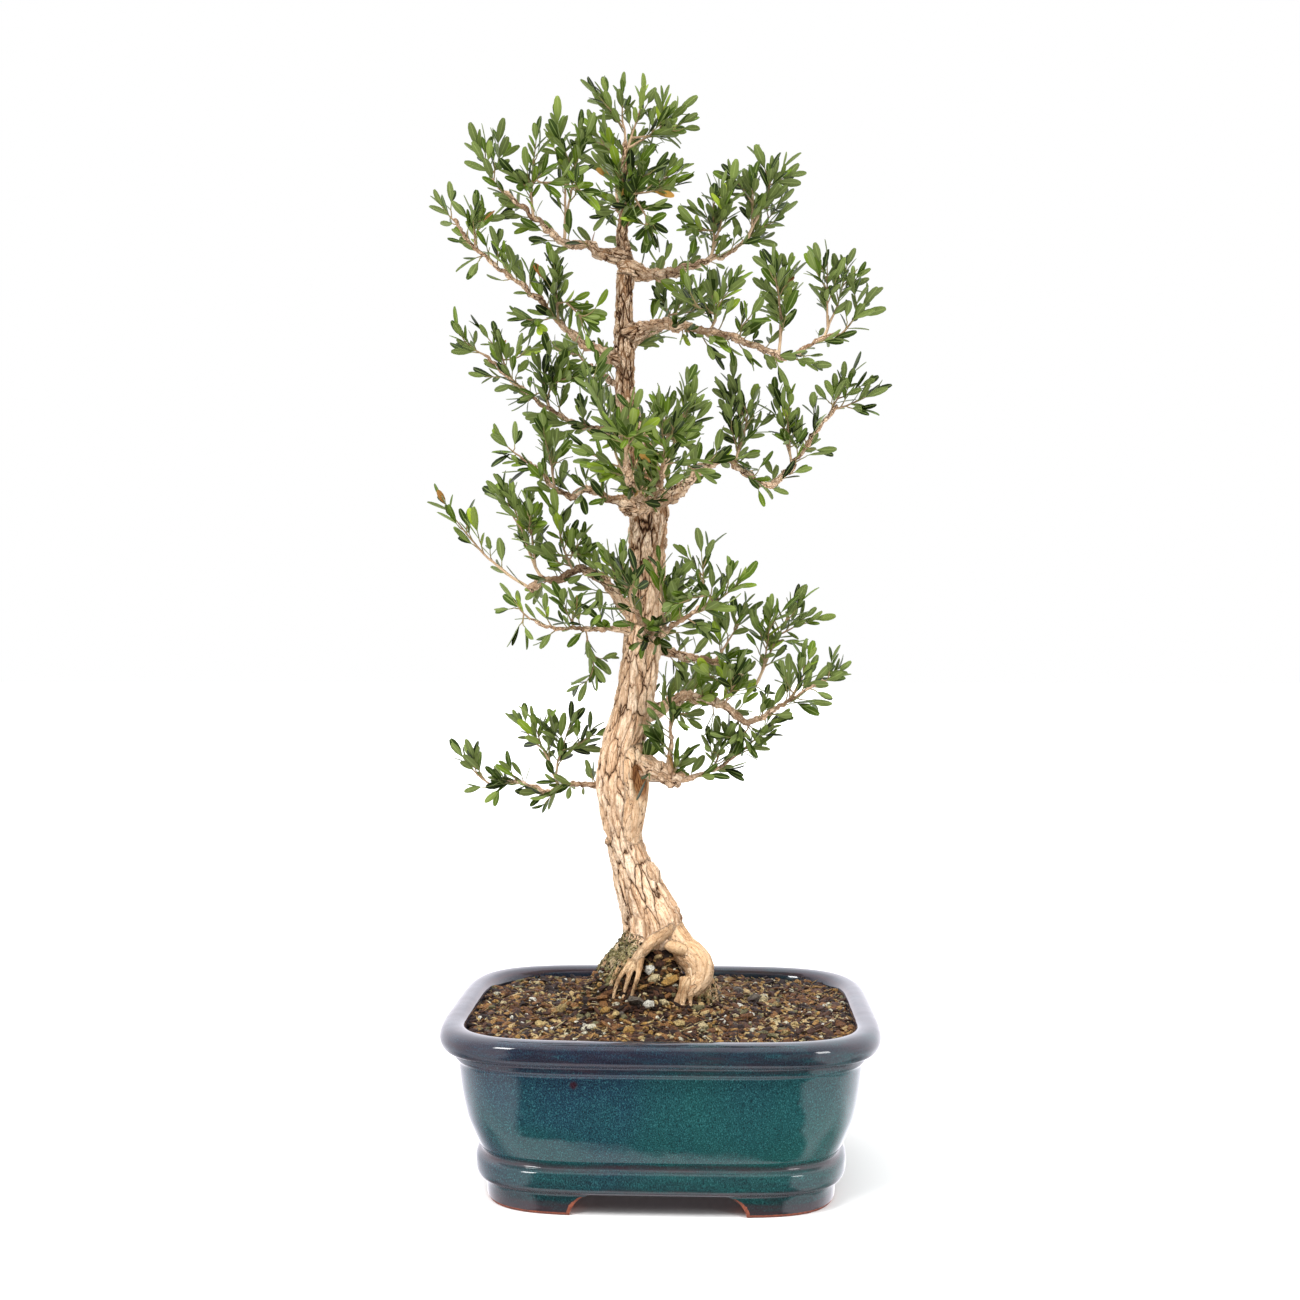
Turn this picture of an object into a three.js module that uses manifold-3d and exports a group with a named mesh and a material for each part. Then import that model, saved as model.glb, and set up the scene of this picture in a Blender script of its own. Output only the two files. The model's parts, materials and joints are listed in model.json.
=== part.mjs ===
// Chinese boxwood bonsai growing in a glazed, rounded rectangular pot.
// Millimetres, +Z up, standing on four feet at z = 0. The front of the pot faces -Y.
import * as THREE from 'three';
import Module from 'manifold-3d';

const wasm = await Module();
wasm.setup();

// Pot
const potLength = 300;
const potDepth = 244;
const potHeight = 120;
const cornerPower = 4.6;
const roundSteps = 32;
const underside = 15.5;
const footInset = 50;
const floorTop = 27;
const gapHalfFront = 58;
const gapHalfSide = 44;
const gapHeight = 14.5;
const drainRadius = 9;
const drainSpacing = 110;
const drainSides = 16;

// Fit between pieces that touch
const clearance = 0.3;

// Soil
const soilEdge = 113;
const soilRise = 20;
const soilFlare = 46;

// Drain meshes
const meshSide = 30;
const meshThick = 1.2;
const slotWide = 4.4;
const slotPitch = 8;

// Leaves. The shape gives half the width, as a share of the whole, at shares of the length.
const leafLength = 18.5;
const leafWidth = 6.4;
const leafThick = 0.8;
const leafShape = [[0.62, 0.5], [1, 0.2]];
const smallestLeaf = 0.86;
const leafSizeRange = 0.28;

// Angle between a leaf and its twig, in radians: at the tip, lower down, and its spread
const tipLean = 0.5;
const lowerLean = 0.9;
const leanRange = 0.3;
const leanStep = 0.12;

// Twigs
const twigHalf = 0.75;
const twigTaper = 0.25;
const twigSag = 0.13;
const nodeHeight = 1.3;
const terminalReach = 15;
const pairSpacing = 8.5;
const leafyShare = 0.75;
const pairsOnMain = 3;
const pairsOnSide = 2;
const firstFork = 0.16;
const nearestFork = 6;
const forkStep = 0.12;
const furthestRoot = 0.985;
const twigTries = 12;
const leafTries = 4;

// Corners and edges smaller than this are merged after a cut
const tidyLimit = 0.12;

// Pot wall, each point as [inset from the rim's outline, height]
const potOutside = [
  [31, 0], [30, 14.5], [25, 16.5], [23, 22], [24.5, 29], [31, 33], [24.5, 40.5], [18, 55], [14, 75],
  [11.5, 96], [9, 99], [8.5, 103], [2.5, 104.5], [0, 111], [2.5, 118], [9, potHeight], [15, 119],
];
const potInside = [
  [46, floorTop], [37, 40], [28, 66], [19, 104], [18, 115], [15, 119], [15, 124],
];

// Trunk, each point as [x, y, z, radius]
const trunk = [
  [0, 6, 84, 7], [-1, 6, 102, 11], [-2, 6, 124, 15], [-3, 5, 142, 18.5], [-4, 3, 157, 21.5],
  [-6, 1, 172, 22], [-10, 2, 184, 19.6], [-17, 3, 201, 16.8], [-23, 4, 219, 14.3],
  [-27.6, 4, 236, 13.2], [-29.7, 4, 252, 14.8], [-30.4, 3, 269, 16.8], [-31, 2, 283, 16.4],
  [-28.8, 1, 300, 15.4], [-23, 0, 318, 15], [-18.7, 0, 340, 14.7], [-15.9, 0, 363, 13.9],
  [-13.7, 0, 388, 13.2], [-11.6, 0, 413, 12.5], [-10.9, 0, 434, 12.5], [-10, 0, 452, 12.9],
  [-9.4, 0, 471, 12.5], [-11.6, 0, 490, 11.1], [-15, 0, 509, 9.6], [-21, 0, 529, 8.2],
  [-26, 0, 549, 6.8], [-26.6, 0, 570, 6.4], [-27.3, 0, 588, 7.1], [-27.3, 0, 605, 6.4],
  [-27.3, 0, 620, 5.9], [-26.6, 0, 635, 6.4], [-26.6, 0, 650, 5.2], [-29, 0, 667, 4.4],
  [-26, -3, 687, 3.6], [-27, -4, 712, 2.6], [-26, -5, 733, 1.6],
];
const trunkSides = 12;

// Old scar on the front of the trunk and a healed nub on its left
const scar = { at: [-16, -17, 280], along: [0.35, -1, 0.1], radii: [2, 6.5, 9.5], depth: 5, sides: 8 };
const nub = [[-26, 2, 230, 5], [-35, 0, 232, 3.6], [-41, -1, 234, 2.6]];

// Surface roots, each point as [x, y, z, radius]
const roots = [
  [[8, -3, 181, 12], [17, -7, 168, 13], [24, -11, 155, 12.5], [25, -15, 143, 10.5], [22, -21, 132, 8],
    [15, -28, 121, 5.5], [9, -35, 106, 3.6]],
  [[18, -7, 153, 9], [28, -8, 139, 7.5], [35, -8, 128, 5.5], [42, -8, 116, 4], [50, -8, 102, 3]],
  [[-9, -7, 170, 11], [-14, -13, 155, 9.5], [-19, -17, 142, 7], [-23, -20, 131, 5], [-27, -24, 118, 3.6],
    [-31, -28, 104, 2.8]],
  [[-5, -8, 164, 9], [-8, -16, 150, 7], [-11, -21, 139, 5.2], [-13, -25, 128, 4], [-15, -29, 115, 3]],
  [[-12, 0, 170, 12], [-22, 2, 157, 10], [-29, 4, 146, 9.5], [-35, 5, 134, 8], [-40, 6, 122, 6],
    [-46, 7, 108, 3.8]],
  [[8, 10, 168, 12], [20, 22, 152, 10], [31, 31, 137, 8], [40, 39, 124, 6.3], [49, 46, 111, 4.5],
    [58, 53, 97, 3.2]],
  [[-10, 10, 166, 12], [-20, 24, 151, 10], [-28, 36, 136, 8], [-36, 46, 123, 6], [-44, 54, 111, 4.5],
    [-54, 62, 97, 3.2]],
  [[0, 14, 162, 12], [2, 30, 147, 9], [3, 44, 132, 7], [4, 56, 119, 5.3], [6, 68, 106, 3.8]],
];
const rootSides = 5;

// Limbs. A route runs from inside the trunk to the limb's end as [x, y, z]; radii are at its two ends.
// Each spray has the share of the route where it leaves, then the tips that its twigs reach.
const limbs = [
  { name: 'top_left', radii: [5, 1.6],
    route: [[-29, 0, 651], [-42, -2, 653], [-55, -8, 658], [-69, -14, 658], [-83, -20, 668], [-99, -25, 682],
      [-114, -30, 693]],
    sprays: [[1, [-134, -32, 734], [-105, -18, 728]], [0.7, [-85, -42, 736], [-92, -54, 710]],
      [0.42, [-73, -24, 755], [-54, -34, 743]]] },
  { name: 'top_right', radii: [6, 1.6],
    route: [[-26, 0, 643], [-13, 6, 640], [2, 12, 642], [18, 18, 648], [33, 22, 654], [47, 26, 660],
      [60, 28, 670]],
    sprays: [[1, [94, 30, 736], [66, 20, 728]], [0.88, [96, 44, 711], [82, 36, 686]],
      [0.7, [54, 12, 721], [36, 8, 715], [24, 20, 703]]] },
  { name: 'upper_right', radii: [5.5, 1.5],
    route: [[-26, 0, 596], [-6, -8, 600], [9, -14, 599], [31, -20, 593], [52, -24, 587], [69, -26, 580],
      [88, -26, 573], [101, -24, 581], [114, -22, 588], [129, -20, 590]],
    sprays: [[1, [152, -16, 626], [142, -30, 609]], [0.93, [134, -20, 652], [115, -30, 656]],
      [0.7, [91, -14, 652], [80, -34, 646]], [0.38, [46, -38, 630], [33, -10, 637], [5, -22, 622]]] },
  { name: 'upper_left', radii: [4.2, 1.3],
    route: [[-27, 0, 575], [-43, -6, 582], [-57, -10, 588], [-72, -14, 602], [-89, -20, 619],
      [-113, -26, 637], [-132, -30, 653], [-144, -32, 670]],
    sprays: [[1, [-162, -34, 690], [-147, -26, 697]], [0.85, [-128, -42, 690], [-112, -46, 683]],
      [0.36, [-72, -30, 650], [-68, -10, 633], [-49, -36, 613]]] },
  { name: 'middle_left', radii: [3.4, 1.2],
    route: [[-25, 4, 527], [-45, 12, 530], [-66, 18, 536], [-87, 24, 549], [-112, 28, 569], [-132, 30, 588]],
    sprays: [[1, [-159, 34, 610], [-144, 42, 609]], [0.8, [-129, 42, 617], [-117, 22, 597]],
      [0.5, [-95, 16, 590], [-73, 8, 587], [-115, 22, 550]]] },
  { name: 'collar_left', radii: [4.2, 1.4],
    route: [[-15, -12, 476], [-35, -16, 476], [-45, -16, 482], [-56, -18, 483], [-64, -20, 477],
      [-77, -24, 486], [-86, -26, 496], [-98, -28, 505]],
    sprays: [[1, [-122, -32, 525], [-101, -22, 524]], [0.7, [-83, -40, 536], [-74, -18, 526]]] },
  { name: 'front_left', radii: [5, 1.8],
    route: [[-11, -10, 474], [-14, -38, 473], [-17, -58, 477], [-20, -76, 484], [-21, -88, 493]],
    sprays: [[1, [-28, -104, 529], [-10, -112, 537]], [0.77, [-46, -82, 552], [-60, -80, 510]]] },
  { name: 'front_right', radii: [4.6, 1.6],
    route: [[-8, -10, 473], [-1, -44, 480], [2, -62, 490], [4, -72, 499]],
    sprays: [[1, [-1, -88, 542], [19, -94, 533], [22, -88, 520]], [0.8, [22, -54, 564], [3, -60, 548]]] },
  { name: 'middle_right', radii: [6.5, 1.7],
    route: [[-15, -8, 476], [-23, -18, 470], [-4, -23, 472], [13, -19, 482], [27, -12, 498], [46, -4, 506],
      [59, 4, 497], [74, 8, 489], [88, 10, 496], [99, 12, 511], [110, 12, 527], [126, 10, 546]],
    sprays: [[1, [164, 8, 560], [152, -4, 538]], [0.95, [143, 14, 582], [122, 0, 564]],
      [0.76, [90, -10, 562], [77, 6, 566]], [0.5, [56, 24, 554], [68, 14, 565], [46, -8, 553]]] },
  { name: 'lower_left', radii: [5, 3],
    route: [[-18, 0, 394], [-28, -6, 403], [-40, -10, 418], [-50, -12, 425], [-60, -12, 427], [-72, -12, 420],
      [-84, -10, 420], [-94, -6, 414]],
    sprays: [[1, [-170, 6, 490], [-124, 12, 431]], [0.9, [-113, 10, 494], [-95, -12, 488]],
      [0.62, [-77, -26, 480], [-48, -28, 460], [-42, -36, 441]]] },
  { name: 'low_front_left', radii: [3, 1.1],
    route: [[-18, -4, 384], [-35, -18, 385], [-49, -25, 385], [-67, -30, 385], [-77, -33, 386],
      [-90, -37, 391]],
    sprays: [[1, [-111, -42, 416], [-103, -40, 373]], [0.6, [-71, -46, 415], [-52, -42, 410]]] },
  { name: 'lower_front', radii: [4.5, 1.5],
    route: [[-12, -8, 378], [-9, -34, 382], [-13, -52, 389], [-18, -66, 399]],
    sprays: [[1, [-30, -76, 440], [-11, -90, 432], [-41, -64, 443]]] },
  { name: 'lower_front_right', radii: [4.4, 1.4],
    route: [[-10, -8, 380], [3, -44, 383], [11, -54, 388], [21, -58, 394], [31, -60, 401]],
    sprays: [[0.55, [-1, -70, 443], [12, -58, 429]], [0.9, [68, -62, 424], [27, -56, 451], [39, -76, 410]]] },
  { name: 'lower_right', radii: [5, 1.6],
    route: [[-14, 2, 376], [1, 8, 370], [13, 10, 366], [25, 14, 364], [39, 18, 361], [49, 20, 355],
      [67, 22, 344]],
    sprays: [[1, [101, 26, 418], [80, 18, 411]], [0.6, [67, 24, 416], [38, 28, 399]]] },
  { name: 'long_right', radii: [6, 1.3],
    route: [[-19, 2, 323], [-5, 2, 326], [7, 0, 333], [21, -4, 337], [34, -8, 334], [45, -10, 330],
      [61, -12, 319], [80, -12, 329], [93, -12, 336], [114, -10, 349]],
    sprays: [[1, [138, -8, 362], [122, -16, 376]], [0.8, [111, -4, 376], [80, -24, 363], [100, -22, 369]],
      [0.45, [58, -32, 369], [41, -24, 367]]] },
  { name: 'lowest_right', radii: [7, 4.4],
    route: [[-22, 0, 290], [-8, -10, 286], [2, -15, 281], [14, -18, 279]],
    sprays: [] },
  { name: 'lowest_right_twig', radii: [2.4, 1.1],
    route: [[7, -16, 281], [16, -17, 279], [26, -14, 282], [36, -10, 285], [47, -6, 291], [64, -4, 305]],
    sprays: [[1, [91, -2, 327], [82, 8, 331]], [0.5, [52, -12, 324], [38, 2, 320]]] },
  { name: 'lowest_right_riser', radii: [2.6, 1.3],
    route: [[5, -16, 281], [6, -20, 294], [7, -23, 309], [7, -24, 323]],
    sprays: [[1, [5, -26, 344], [22, -36, 332]]] },
  { name: 'lowest_left', radii: [3.2, 1.2],
    route: [[-26, 2, 273], [-45, 4, 273], [-58, 8, 273], [-69, 12, 273], [-81, 14, 267], [-92, 16, 270],
      [-108, 17, 274], [-124, 18, 271]],
    sprays: [[1, [-158, 20, 302], [-144, 16, 307]], [0.5, [-99, 12, 332], [-64, 22, 332], [-84, 20, 317]]] },
  { name: 'back_low', radii: [4.8, 1.5],
    route: [[-12, 4, 376], [-10, 26, 380], [-7, 52, 389], [-4, 86, 399]],
    sprays: [[1, [-10, 120, 437], [30, 100, 431], [-36, 100, 426]]] },
  { name: 'back_middle', radii: [5, 1.5],
    route: [[-13, 4, 478], [-14, 28, 486], [-15, 54, 495], [-19, 90, 510]],
    sprays: [[1, [-21, 124, 569], [-51, 104, 557], [20, 106, 557]]] },
  { name: 'back_upper_right', radii: [4, 1.4],
    route: [[-27, 2, 584], [-21, 24, 594], [-14, 46, 604], [-1, 74, 617]],
    sprays: [[1, [20, 102, 659], [-4, 86, 663]]] },
  { name: 'back_upper_left', radii: [3.6, 1.4],
    route: [[-27, 2, 556], [-37, 22, 566], [-48, 42, 576], [-60, 66, 588]],
    sprays: [[1, [-81, 90, 619], [-56, 72, 619]]] },
  { name: 'back_top', radii: [4, 1.4],
    route: [[-27, 0, 655], [-30, 18, 671], [-32, 36, 690], [-36, 54, 709]],
    sprays: [[1, [-43, 76, 766], [-10, 76, 760]]] },
  { name: 'back_lowest', radii: [4, 1.4],
    route: [[-19, 4, 318], [-11, 28, 323], [-3, 52, 328], [7, 78, 333]],
    sprays: [[1, [36, 98, 366], [19, 100, 336]]] },
  { name: 'apex', radii: [2, 1.2],
    route: [[-26.6, 0, 650], [-29, 0, 667], [-26, -3, 687], [-27, -4, 712], [-26, -5, 733]],
    sprays: [[1, [-29, -4, 783], [-46, -10, 778]], [0.88, [-10, 8, 782], [24, 10, 768], [29, -6, 748]],
      [0.8, [-57, 0, 751], [-40, -26, 733]], [0.55, [25, 6, 723], [20, -16, 702]],
      [0.45, [-6, -44, 718], [-32, -54, 708], [-13, -64, 681]]] },
];
const limbSides = 5;
const slimLimbSides = 4;
const slimLimb = 3.7;

// Repeatable random draws between 0 and 1
function drawFrom(seed) {
  let state = seed;
  return () => {
    state = (state * 16807) % 2147483647;
    return state / 2147483647;
  };
}

// Corners of a square section, counterclockwise
const square = [[-1, -1], [1, -1], [1, 1], [-1, 1]];

function vec(point) {
  return new THREE.Vector3(point[0], point[1], point[2]);
}

// One closed surface, grown ring by ring. Each ring runs counterclockwise seen from the next one.
class Skin {
  constructor() {
    this.positions = [];
    this.index = [];
  }

  ring(points) {
    const first = this.positions.length / 3;
    points.forEach((p) => this.positions.push(p.x, p.y, p.z));
    return points.map((_, i) => first + i);
  }

  // Walls between two rings, open at the faces listed
  bridge(a, b, open = []) {
    for (let k = 0; k < a.length; k += 1) {
      const n = (k + 1) % a.length;
      if (!open.includes(k)) {
        this.index.push(a[k], a[n], b[n], a[k], b[n], b[k]);
      }
    }
  }

  cap(ring) {
    for (let k = 1; k < ring.length - 1; k += 1) {
      this.index.push(ring[0], ring[k], ring[k + 1]);
    }
  }

  solid() {
    const geometry = new THREE.BufferGeometry();
    geometry.setAttribute('position', new THREE.Float32BufferAttribute(this.positions, 3));
    geometry.setIndex(this.index);
    return toSolid(geometry);
  }
}

function loft(rings) {
  const skin = new Skin();
  const indexed = rings.map((points) => skin.ring(points));
  indexed.slice(1).forEach((ring, r) => skin.bridge(indexed[r], ring));
  skin.cap([...indexed[0]].reverse());
  skin.cap(indexed[indexed.length - 1]);
  return skin.solid();
}

function toSolid(geometry) {
  return new wasm.Manifold(new wasm.Mesh({
    numProp: 3,
    vertProperties: new Float32Array(geometry.getAttribute('position').array),
    triVerts: new Uint32Array(geometry.getIndex().array),
  }));
}

function toGeometry(solid) {
  const mesh = solid.getMesh();
  const geometry = new THREE.BufferGeometry();
  geometry.setAttribute('position', new THREE.Float32BufferAttribute(mesh.vertProperties, 3));
  geometry.setIndex(new THREE.Uint32BufferAttribute(mesh.triVerts, 1));
  geometry.computeVertexNormals();
  return geometry;
}

// The largest body of a solid, without the scraps that a cut leaves
function mainBody(solid) {
  return solid.decompose().sort((a, b) => b.volume() - a.volume())[0];
}

// Tube of polygonal section along a smooth curve; shape(angle, station) scales the radius
function tube(points, radii, sides, shape = () => 1) {
  const stations = points.map(vec);
  let across = new THREE.Vector3(1, 0, 0);
  const rings = stations.map((centre, s) => {
    const before = stations[Math.max(s - 1, 0)];
    const after = stations[Math.min(s + 1, stations.length - 1)];
    const along = after.clone().sub(before).normalize();
    if (s === 0 && Math.abs(along.x) > 0.8) {
      across = new THREE.Vector3(0, 1, 0);
    }
    across = across.clone().addScaledVector(along, -across.dot(along)).normalize();
    const up = along.clone().cross(across);
    return Array.from({ length: sides }, (_, i) => {
      const angle = (2 * Math.PI * i) / sides;
      const r = radii[s] * shape(angle, s);
      return centre.clone()
        .addScaledVector(across, r * Math.cos(angle))
        .addScaledVector(up, r * Math.sin(angle));
    });
  });
  return loft(rings);
}

// One ring of the pot's rounded rectangle, a given distance inside the rim's outline
function potRing(inset, z) {
  return Array.from({ length: roundSteps }, (_, i) => {
    const angle = (2 * Math.PI * i) / roundSteps;
    const c = Math.cos(angle);
    const s = Math.sin(angle);
    const x = (potLength / 2 - inset) * Math.sign(c) * Math.abs(c) ** (2 / cornerPower);
    const y = (potDepth / 2 - inset) * Math.sign(s) * Math.abs(s) ** (2 / cornerPower);
    return new THREE.Vector3(x, y, z);
  });
}

// Upright square block on a centre line through x
function block(x, z, wide, deep, high) {
  const corners = (level) => square.map(([sx, sy]) => vec([x + (sx * wide) / 2, (sy * deep) / 2, level]));
  return loft([corners(z), corners(z + high)]);
}

// Arched gap between two feet, cut straight through under the pot along one axis
function footGap(halfWidth, alongX) {
  const rise = [[1, -2], [0.97, 6], [0.87, 12], [0.76, gapHeight]];
  const arch = [[-1, -2], ...rise, ...rise.slice(1).reverse().map(([w, z]) => [-w, z])];
  const ring = (end) => arch.map(([w, z]) => (alongX
    ? new THREE.Vector3(end, w * halfWidth, z)
    : new THREE.Vector3(w * halfWidth, -end, z)));
  return loft([ring(-potLength), ring(potLength)]);
}

function buildPot() {
  let pot = loft(potOutside.map(([inset, z]) => potRing(inset, z)));
  pot = pot.subtract(loft(potInside.map(([inset, z]) => potRing(inset, z))));
  pot = pot.subtract(loft([potRing(footInset, -2), potRing(footInset + 2, underside)]));
  pot = pot.subtract(footGap(gapHalfFront, false));
  pot = pot.subtract(footGap(gapHalfSide, true));
  [-1, 1].forEach((side) => {
    const hole = [underside - 2, floorTop + 2].map((z) => [(side * drainSpacing) / 2, 0, z]);
    pot = pot.subtract(tube(hole, [drainRadius, drainRadius], drainSides));
  });
  return pot.simplify(tidyLimit);
}

function buildDrainMesh(side) {
  const x = (side * drainSpacing) / 2;
  const z = floorTop + clearance;
  const slotLong = meshSide - 2 * slotWide;
  let sheet = block(x, z, meshSide, meshSide, meshThick);
  for (let slot = -1; slot <= 1; slot += 1) {
    sheet = sheet.subtract(block(x + slot * slotPitch, z - 1, slotWide, slotLong, meshThick + 2));
  }
  return sheet;
}

// Height of the soil's surface: a mound round the trunk with low humps
function soilHeight(x, y) {
  const mound = soilRise * Math.exp(-((x * x + y * y) / (soilFlare * soilFlare)));
  return soilEdge + mound + 0.9 * Math.sin(x / 13 + 1) * Math.cos(y / 11) + 0.6 * Math.sin(x / 5.5 - y / 7);
}

function buildSoil(woodHollow) {
  const wall = [0, 2, 3].map((i) => potRing(potInside[i][0] + 2 * clearance, potInside[i][1]));
  wall[0].forEach((p) => { p.z += clearance; });
  const top = [19.2, 50, 96].map((inset) => potRing(inset, 0).map((p) => p.setZ(soilHeight(p.x, p.y))));
  let soil = loft([...wall, ...top]).subtract(woodHollow);
  const pocket = meshSide + 2 * clearance;
  [-1, 1].forEach((side) => {
    const x = (side * drainSpacing) / 2;
    soil = soil.subtract(block(x, floorTop, pocket, pocket, meshThick + 2 * clearance));
  });
  return mainBody(soil.simplify(tidyLimit));
}

// Ridged, plated bark on the trunk as a share of its radius
function barkRelief(angle, station) {
  return 1 + 0.05 * Math.cos(5 * angle + 0.7 * station) + 0.035 * Math.cos(7 * angle - 1.9 * station);
}

// A route whose far end is moved on by extra
function lengthen(points, extra) {
  const [before, end] = points.slice(-2).map(vec);
  const moved = end.clone().addScaledVector(end.clone().sub(before).normalize(), extra);
  return [...points.slice(0, -1), moved.toArray()];
}

// Trunk, limbs and roots as one grown piece, thickened all round by extra
function buildWood(extra) {
  const grow = (points, radii, sides, shape) => {
    const thick = radii.map((r) => r + extra);
    return tube(lengthen(points, extra), thick, sides, shape);
  };
  const ownRadii = (points) => points.map((p) => p[3]);
  const parts = [grow(trunk, ownRadii(trunk), trunkSides, barkRelief), grow(nub, ownRadii(nub), rootSides)];
  roots.forEach((root) => parts.push(grow(root, ownRadii(root), rootSides)));
  limbs.forEach((limb) => {
    const last = limb.route.length - 1;
    const radii = limb.route.map((_, i) => THREE.MathUtils.lerp(limb.radii[0], limb.radii[1], i / last));
    parts.push(grow(limb.route, radii, limb.radii[0] < slimLimb ? slimLimbSides : limbSides));
  });
  const axis = vec(scar.along).normalize().multiplyScalar(scar.depth);
  const funnel = [-1, 0.2, 1.4].map((step) => vec(scar.at).addScaledVector(axis, step).toArray());
  const hollow = tube(funnel, scar.radii, scar.sides);
  return mainBody(wasm.Manifold.union(parts).subtract(hollow).simplify(tidyLimit));
}

function boxesMeet(a, b, gap) {
  return [0, 1, 2].every((k) => a.min[k] - gap < b.max[k] && b.min[k] - gap < a.max[k]);
}

// True where a solid keeps its clearance from every solid in a list of [solid, box]
function isClear(solid, others) {
  const box = solid.boundingBox();
  return others.every(([other, otherBox]) => !boxesMeet(box, otherBox, clearance)
    || solid.minGap(other, clearance) >= clearance);
}

function middleOf(points) {
  const sum = points.reduce((total, p) => total.add(p), new THREE.Vector3());
  return sum.divideScalar(points.length);
}

// A twig's curve: it leaves its start, sags a little and turns up towards its tip
function twigCurve(start, tip, draw) {
  const reach = tip.clone().sub(start);
  const length = Math.max(reach.length() - terminalReach, pairSpacing);
  const end = start.clone().addScaledVector(reach.normalize(), length);
  const bow = new THREE.Vector3(draw() - 0.5, draw() - 0.5, -1).multiplyScalar(twigSag * length);
  return new THREE.QuadraticBezierCurve3(start, start.clone().lerp(end, 0.5).add(bow), end);
}

// Square rings along a twig, two close together at each node, where leaves and side twigs grow from the faces
function twigRings(curve, side, nodes) {
  const length = curve.getLength();
  const shares = nodes.flatMap((node) => [node - nodeHeight / length, node]);
  let across = side.clone();
  return [0, ...shares].map((share) => {
    const along = curve.getTangentAt(share);
    across = across.clone().addScaledVector(along, -across.dot(along)).normalize();
    const up = along.clone().cross(across);
    const half = twigHalf * (1 - twigTaper * share);
    return square.map(([s, u]) => curve.getPointAt(share)
      .addScaledVector(across, s * half)
      .addScaledVector(up, u * half));
  });
}

// The face between two rings, as a quad seen from outside
function faceOf(low, high, k) {
  const n = (k + 1) % 4;
  return [low[k], low[n], high[n], high[k]];
}

// Rings of an obovate blade that grows from a face and leans away from the twig
function leafRings(face, lean, scale) {
  const side = face[1].clone().sub(face[0]).normalize();
  const along = face[3].clone().sub(face[0]).normalize();
  const outward = side.clone().cross(along);
  const direction = along.clone().multiplyScalar(Math.cos(lean)).addScaledVector(outward, Math.sin(lean));
  const up = direction.clone().cross(side);
  const root = middleOf(face);
  return leafShape.map(([share, half]) => square.map(([s, u]) => root.clone()
    .addScaledVector(direction, share * leafLength * scale)
    .addScaledVector(side, s * half * leafWidth * scale)
    .addScaledVector(up, (u * leafThick) / 2)));
}

// Leaves in crossed pairs on a twig, left out where they would come too near anything
function pairLeaves(rings, nodes, others, own, draw) {
  const leaves = new Map();
  nodes.forEach((node, j) => {
    const low = rings[2 * j + 1];
    const high = rings[2 * j + 2];
    const last = j === nodes.length - 1;
    [j % 2, (j % 2) + 2].forEach((k) => {
      const face = faceOf(low, high, k);
      for (let attempt = 0; attempt < leafTries && !leaves.has(4 * j + k); attempt += 1) {
        const lean = (last ? tipLean : lowerLean) + leanRange * (draw() - 0.5) + leanStep * attempt;
        const grown = leafRings(face, lean, smallestLeaf + leafSizeRange * draw());
        const blade = loft([grown[0].map((p, i) => p.clone().lerp(face[i], 0.85)), ...grown]);
        if (isClear(blade, others) && isClear(blade, own)) {
          leaves.set(4 * j + k, grown);
          own.push([blade, blade.boundingBox()]);
        }
      }
    });
  });
  return leaves;
}

// Adds a twig and its leaves to a skin, from its own root cap or from the face of another twig
function addTwig(skin, rings, leaves, from, openAt) {
  const indexed = rings.map((ring) => skin.ring(ring));
  if (from) {
    skin.bridge(from, indexed[0]);
  } else {
    skin.cap([...indexed[0]].reverse());
  }
  indexed.slice(1).forEach((ring, r) => {
    const grown = r % 2 === 1 ? [0, 1, 2, 3].filter((k) => leaves.has(2 * (r - 1) + k)) : [];
    grown.forEach((k) => {
      const blade = leaves.get(2 * (r - 1) + k).map((points) => skin.ring(points));
      skin.bridge(faceOf(indexed[r], ring, k), blade[0]);
      blade.slice(1).forEach((next, b) => skin.bridge(blade[b], next));
      skin.cap(blade[blade.length - 1]);
    });
    skin.bridge(indexed[r], ring, [...grown, ...(openAt[r] ?? [])]);
  });
  skin.cap(indexed[indexed.length - 1]);
  return indexed;
}

// Shares of a twig's length where its leaf pairs sit, counted back from its end
function nodeShares(length, most) {
  const count = Math.max(1, Math.min(most, Math.floor((leafyShare * length) / pairSpacing)));
  return Array.from({ length: count }, (_, i) => 1 - ((count - 1 - i) * pairSpacing) / length);
}

// First of several tries whose body keeps clear of the others, or none
function firstClear(make, others) {
  for (let attempt = 0; attempt < twigTries; attempt += 1) {
    const twig = make();
    if (isClear(twig.body, others)) {
      return twig;
    }
  }
  return null;
}

function outwardOf(face) {
  return face[1].clone().sub(face[0]).cross(face[3].clone().sub(face[0])).normalize();
}

// Side twig from the face of a fork that looks most towards its tip
function planSideTwig([low, high], fork, goal, pairs, others, draw) {
  const faces = [0, 1, 2, 3].map((k) => faceOf(low, high, k));
  const facing = faces.map((face) => outwardOf(face).dot(goal.clone().sub(middleOf(face))));
  const k = facing.indexOf(Math.max(...facing));
  const root = middleOf(faces[k]).addScaledVector(outwardOf(faces[k]), twigHalf);
  const side = faces[k][1].clone().sub(faces[k][0]).normalize();
  return firstClear(() => {
    const curve = twigCurve(root, goal, draw);
    const nodes = nodeShares(curve.getLength(), pairs);
    const rings = twigRings(curve, side, nodes);
    return { fork, k, nodes, rings, body: loft(rings) };
  }, others);
}

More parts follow.
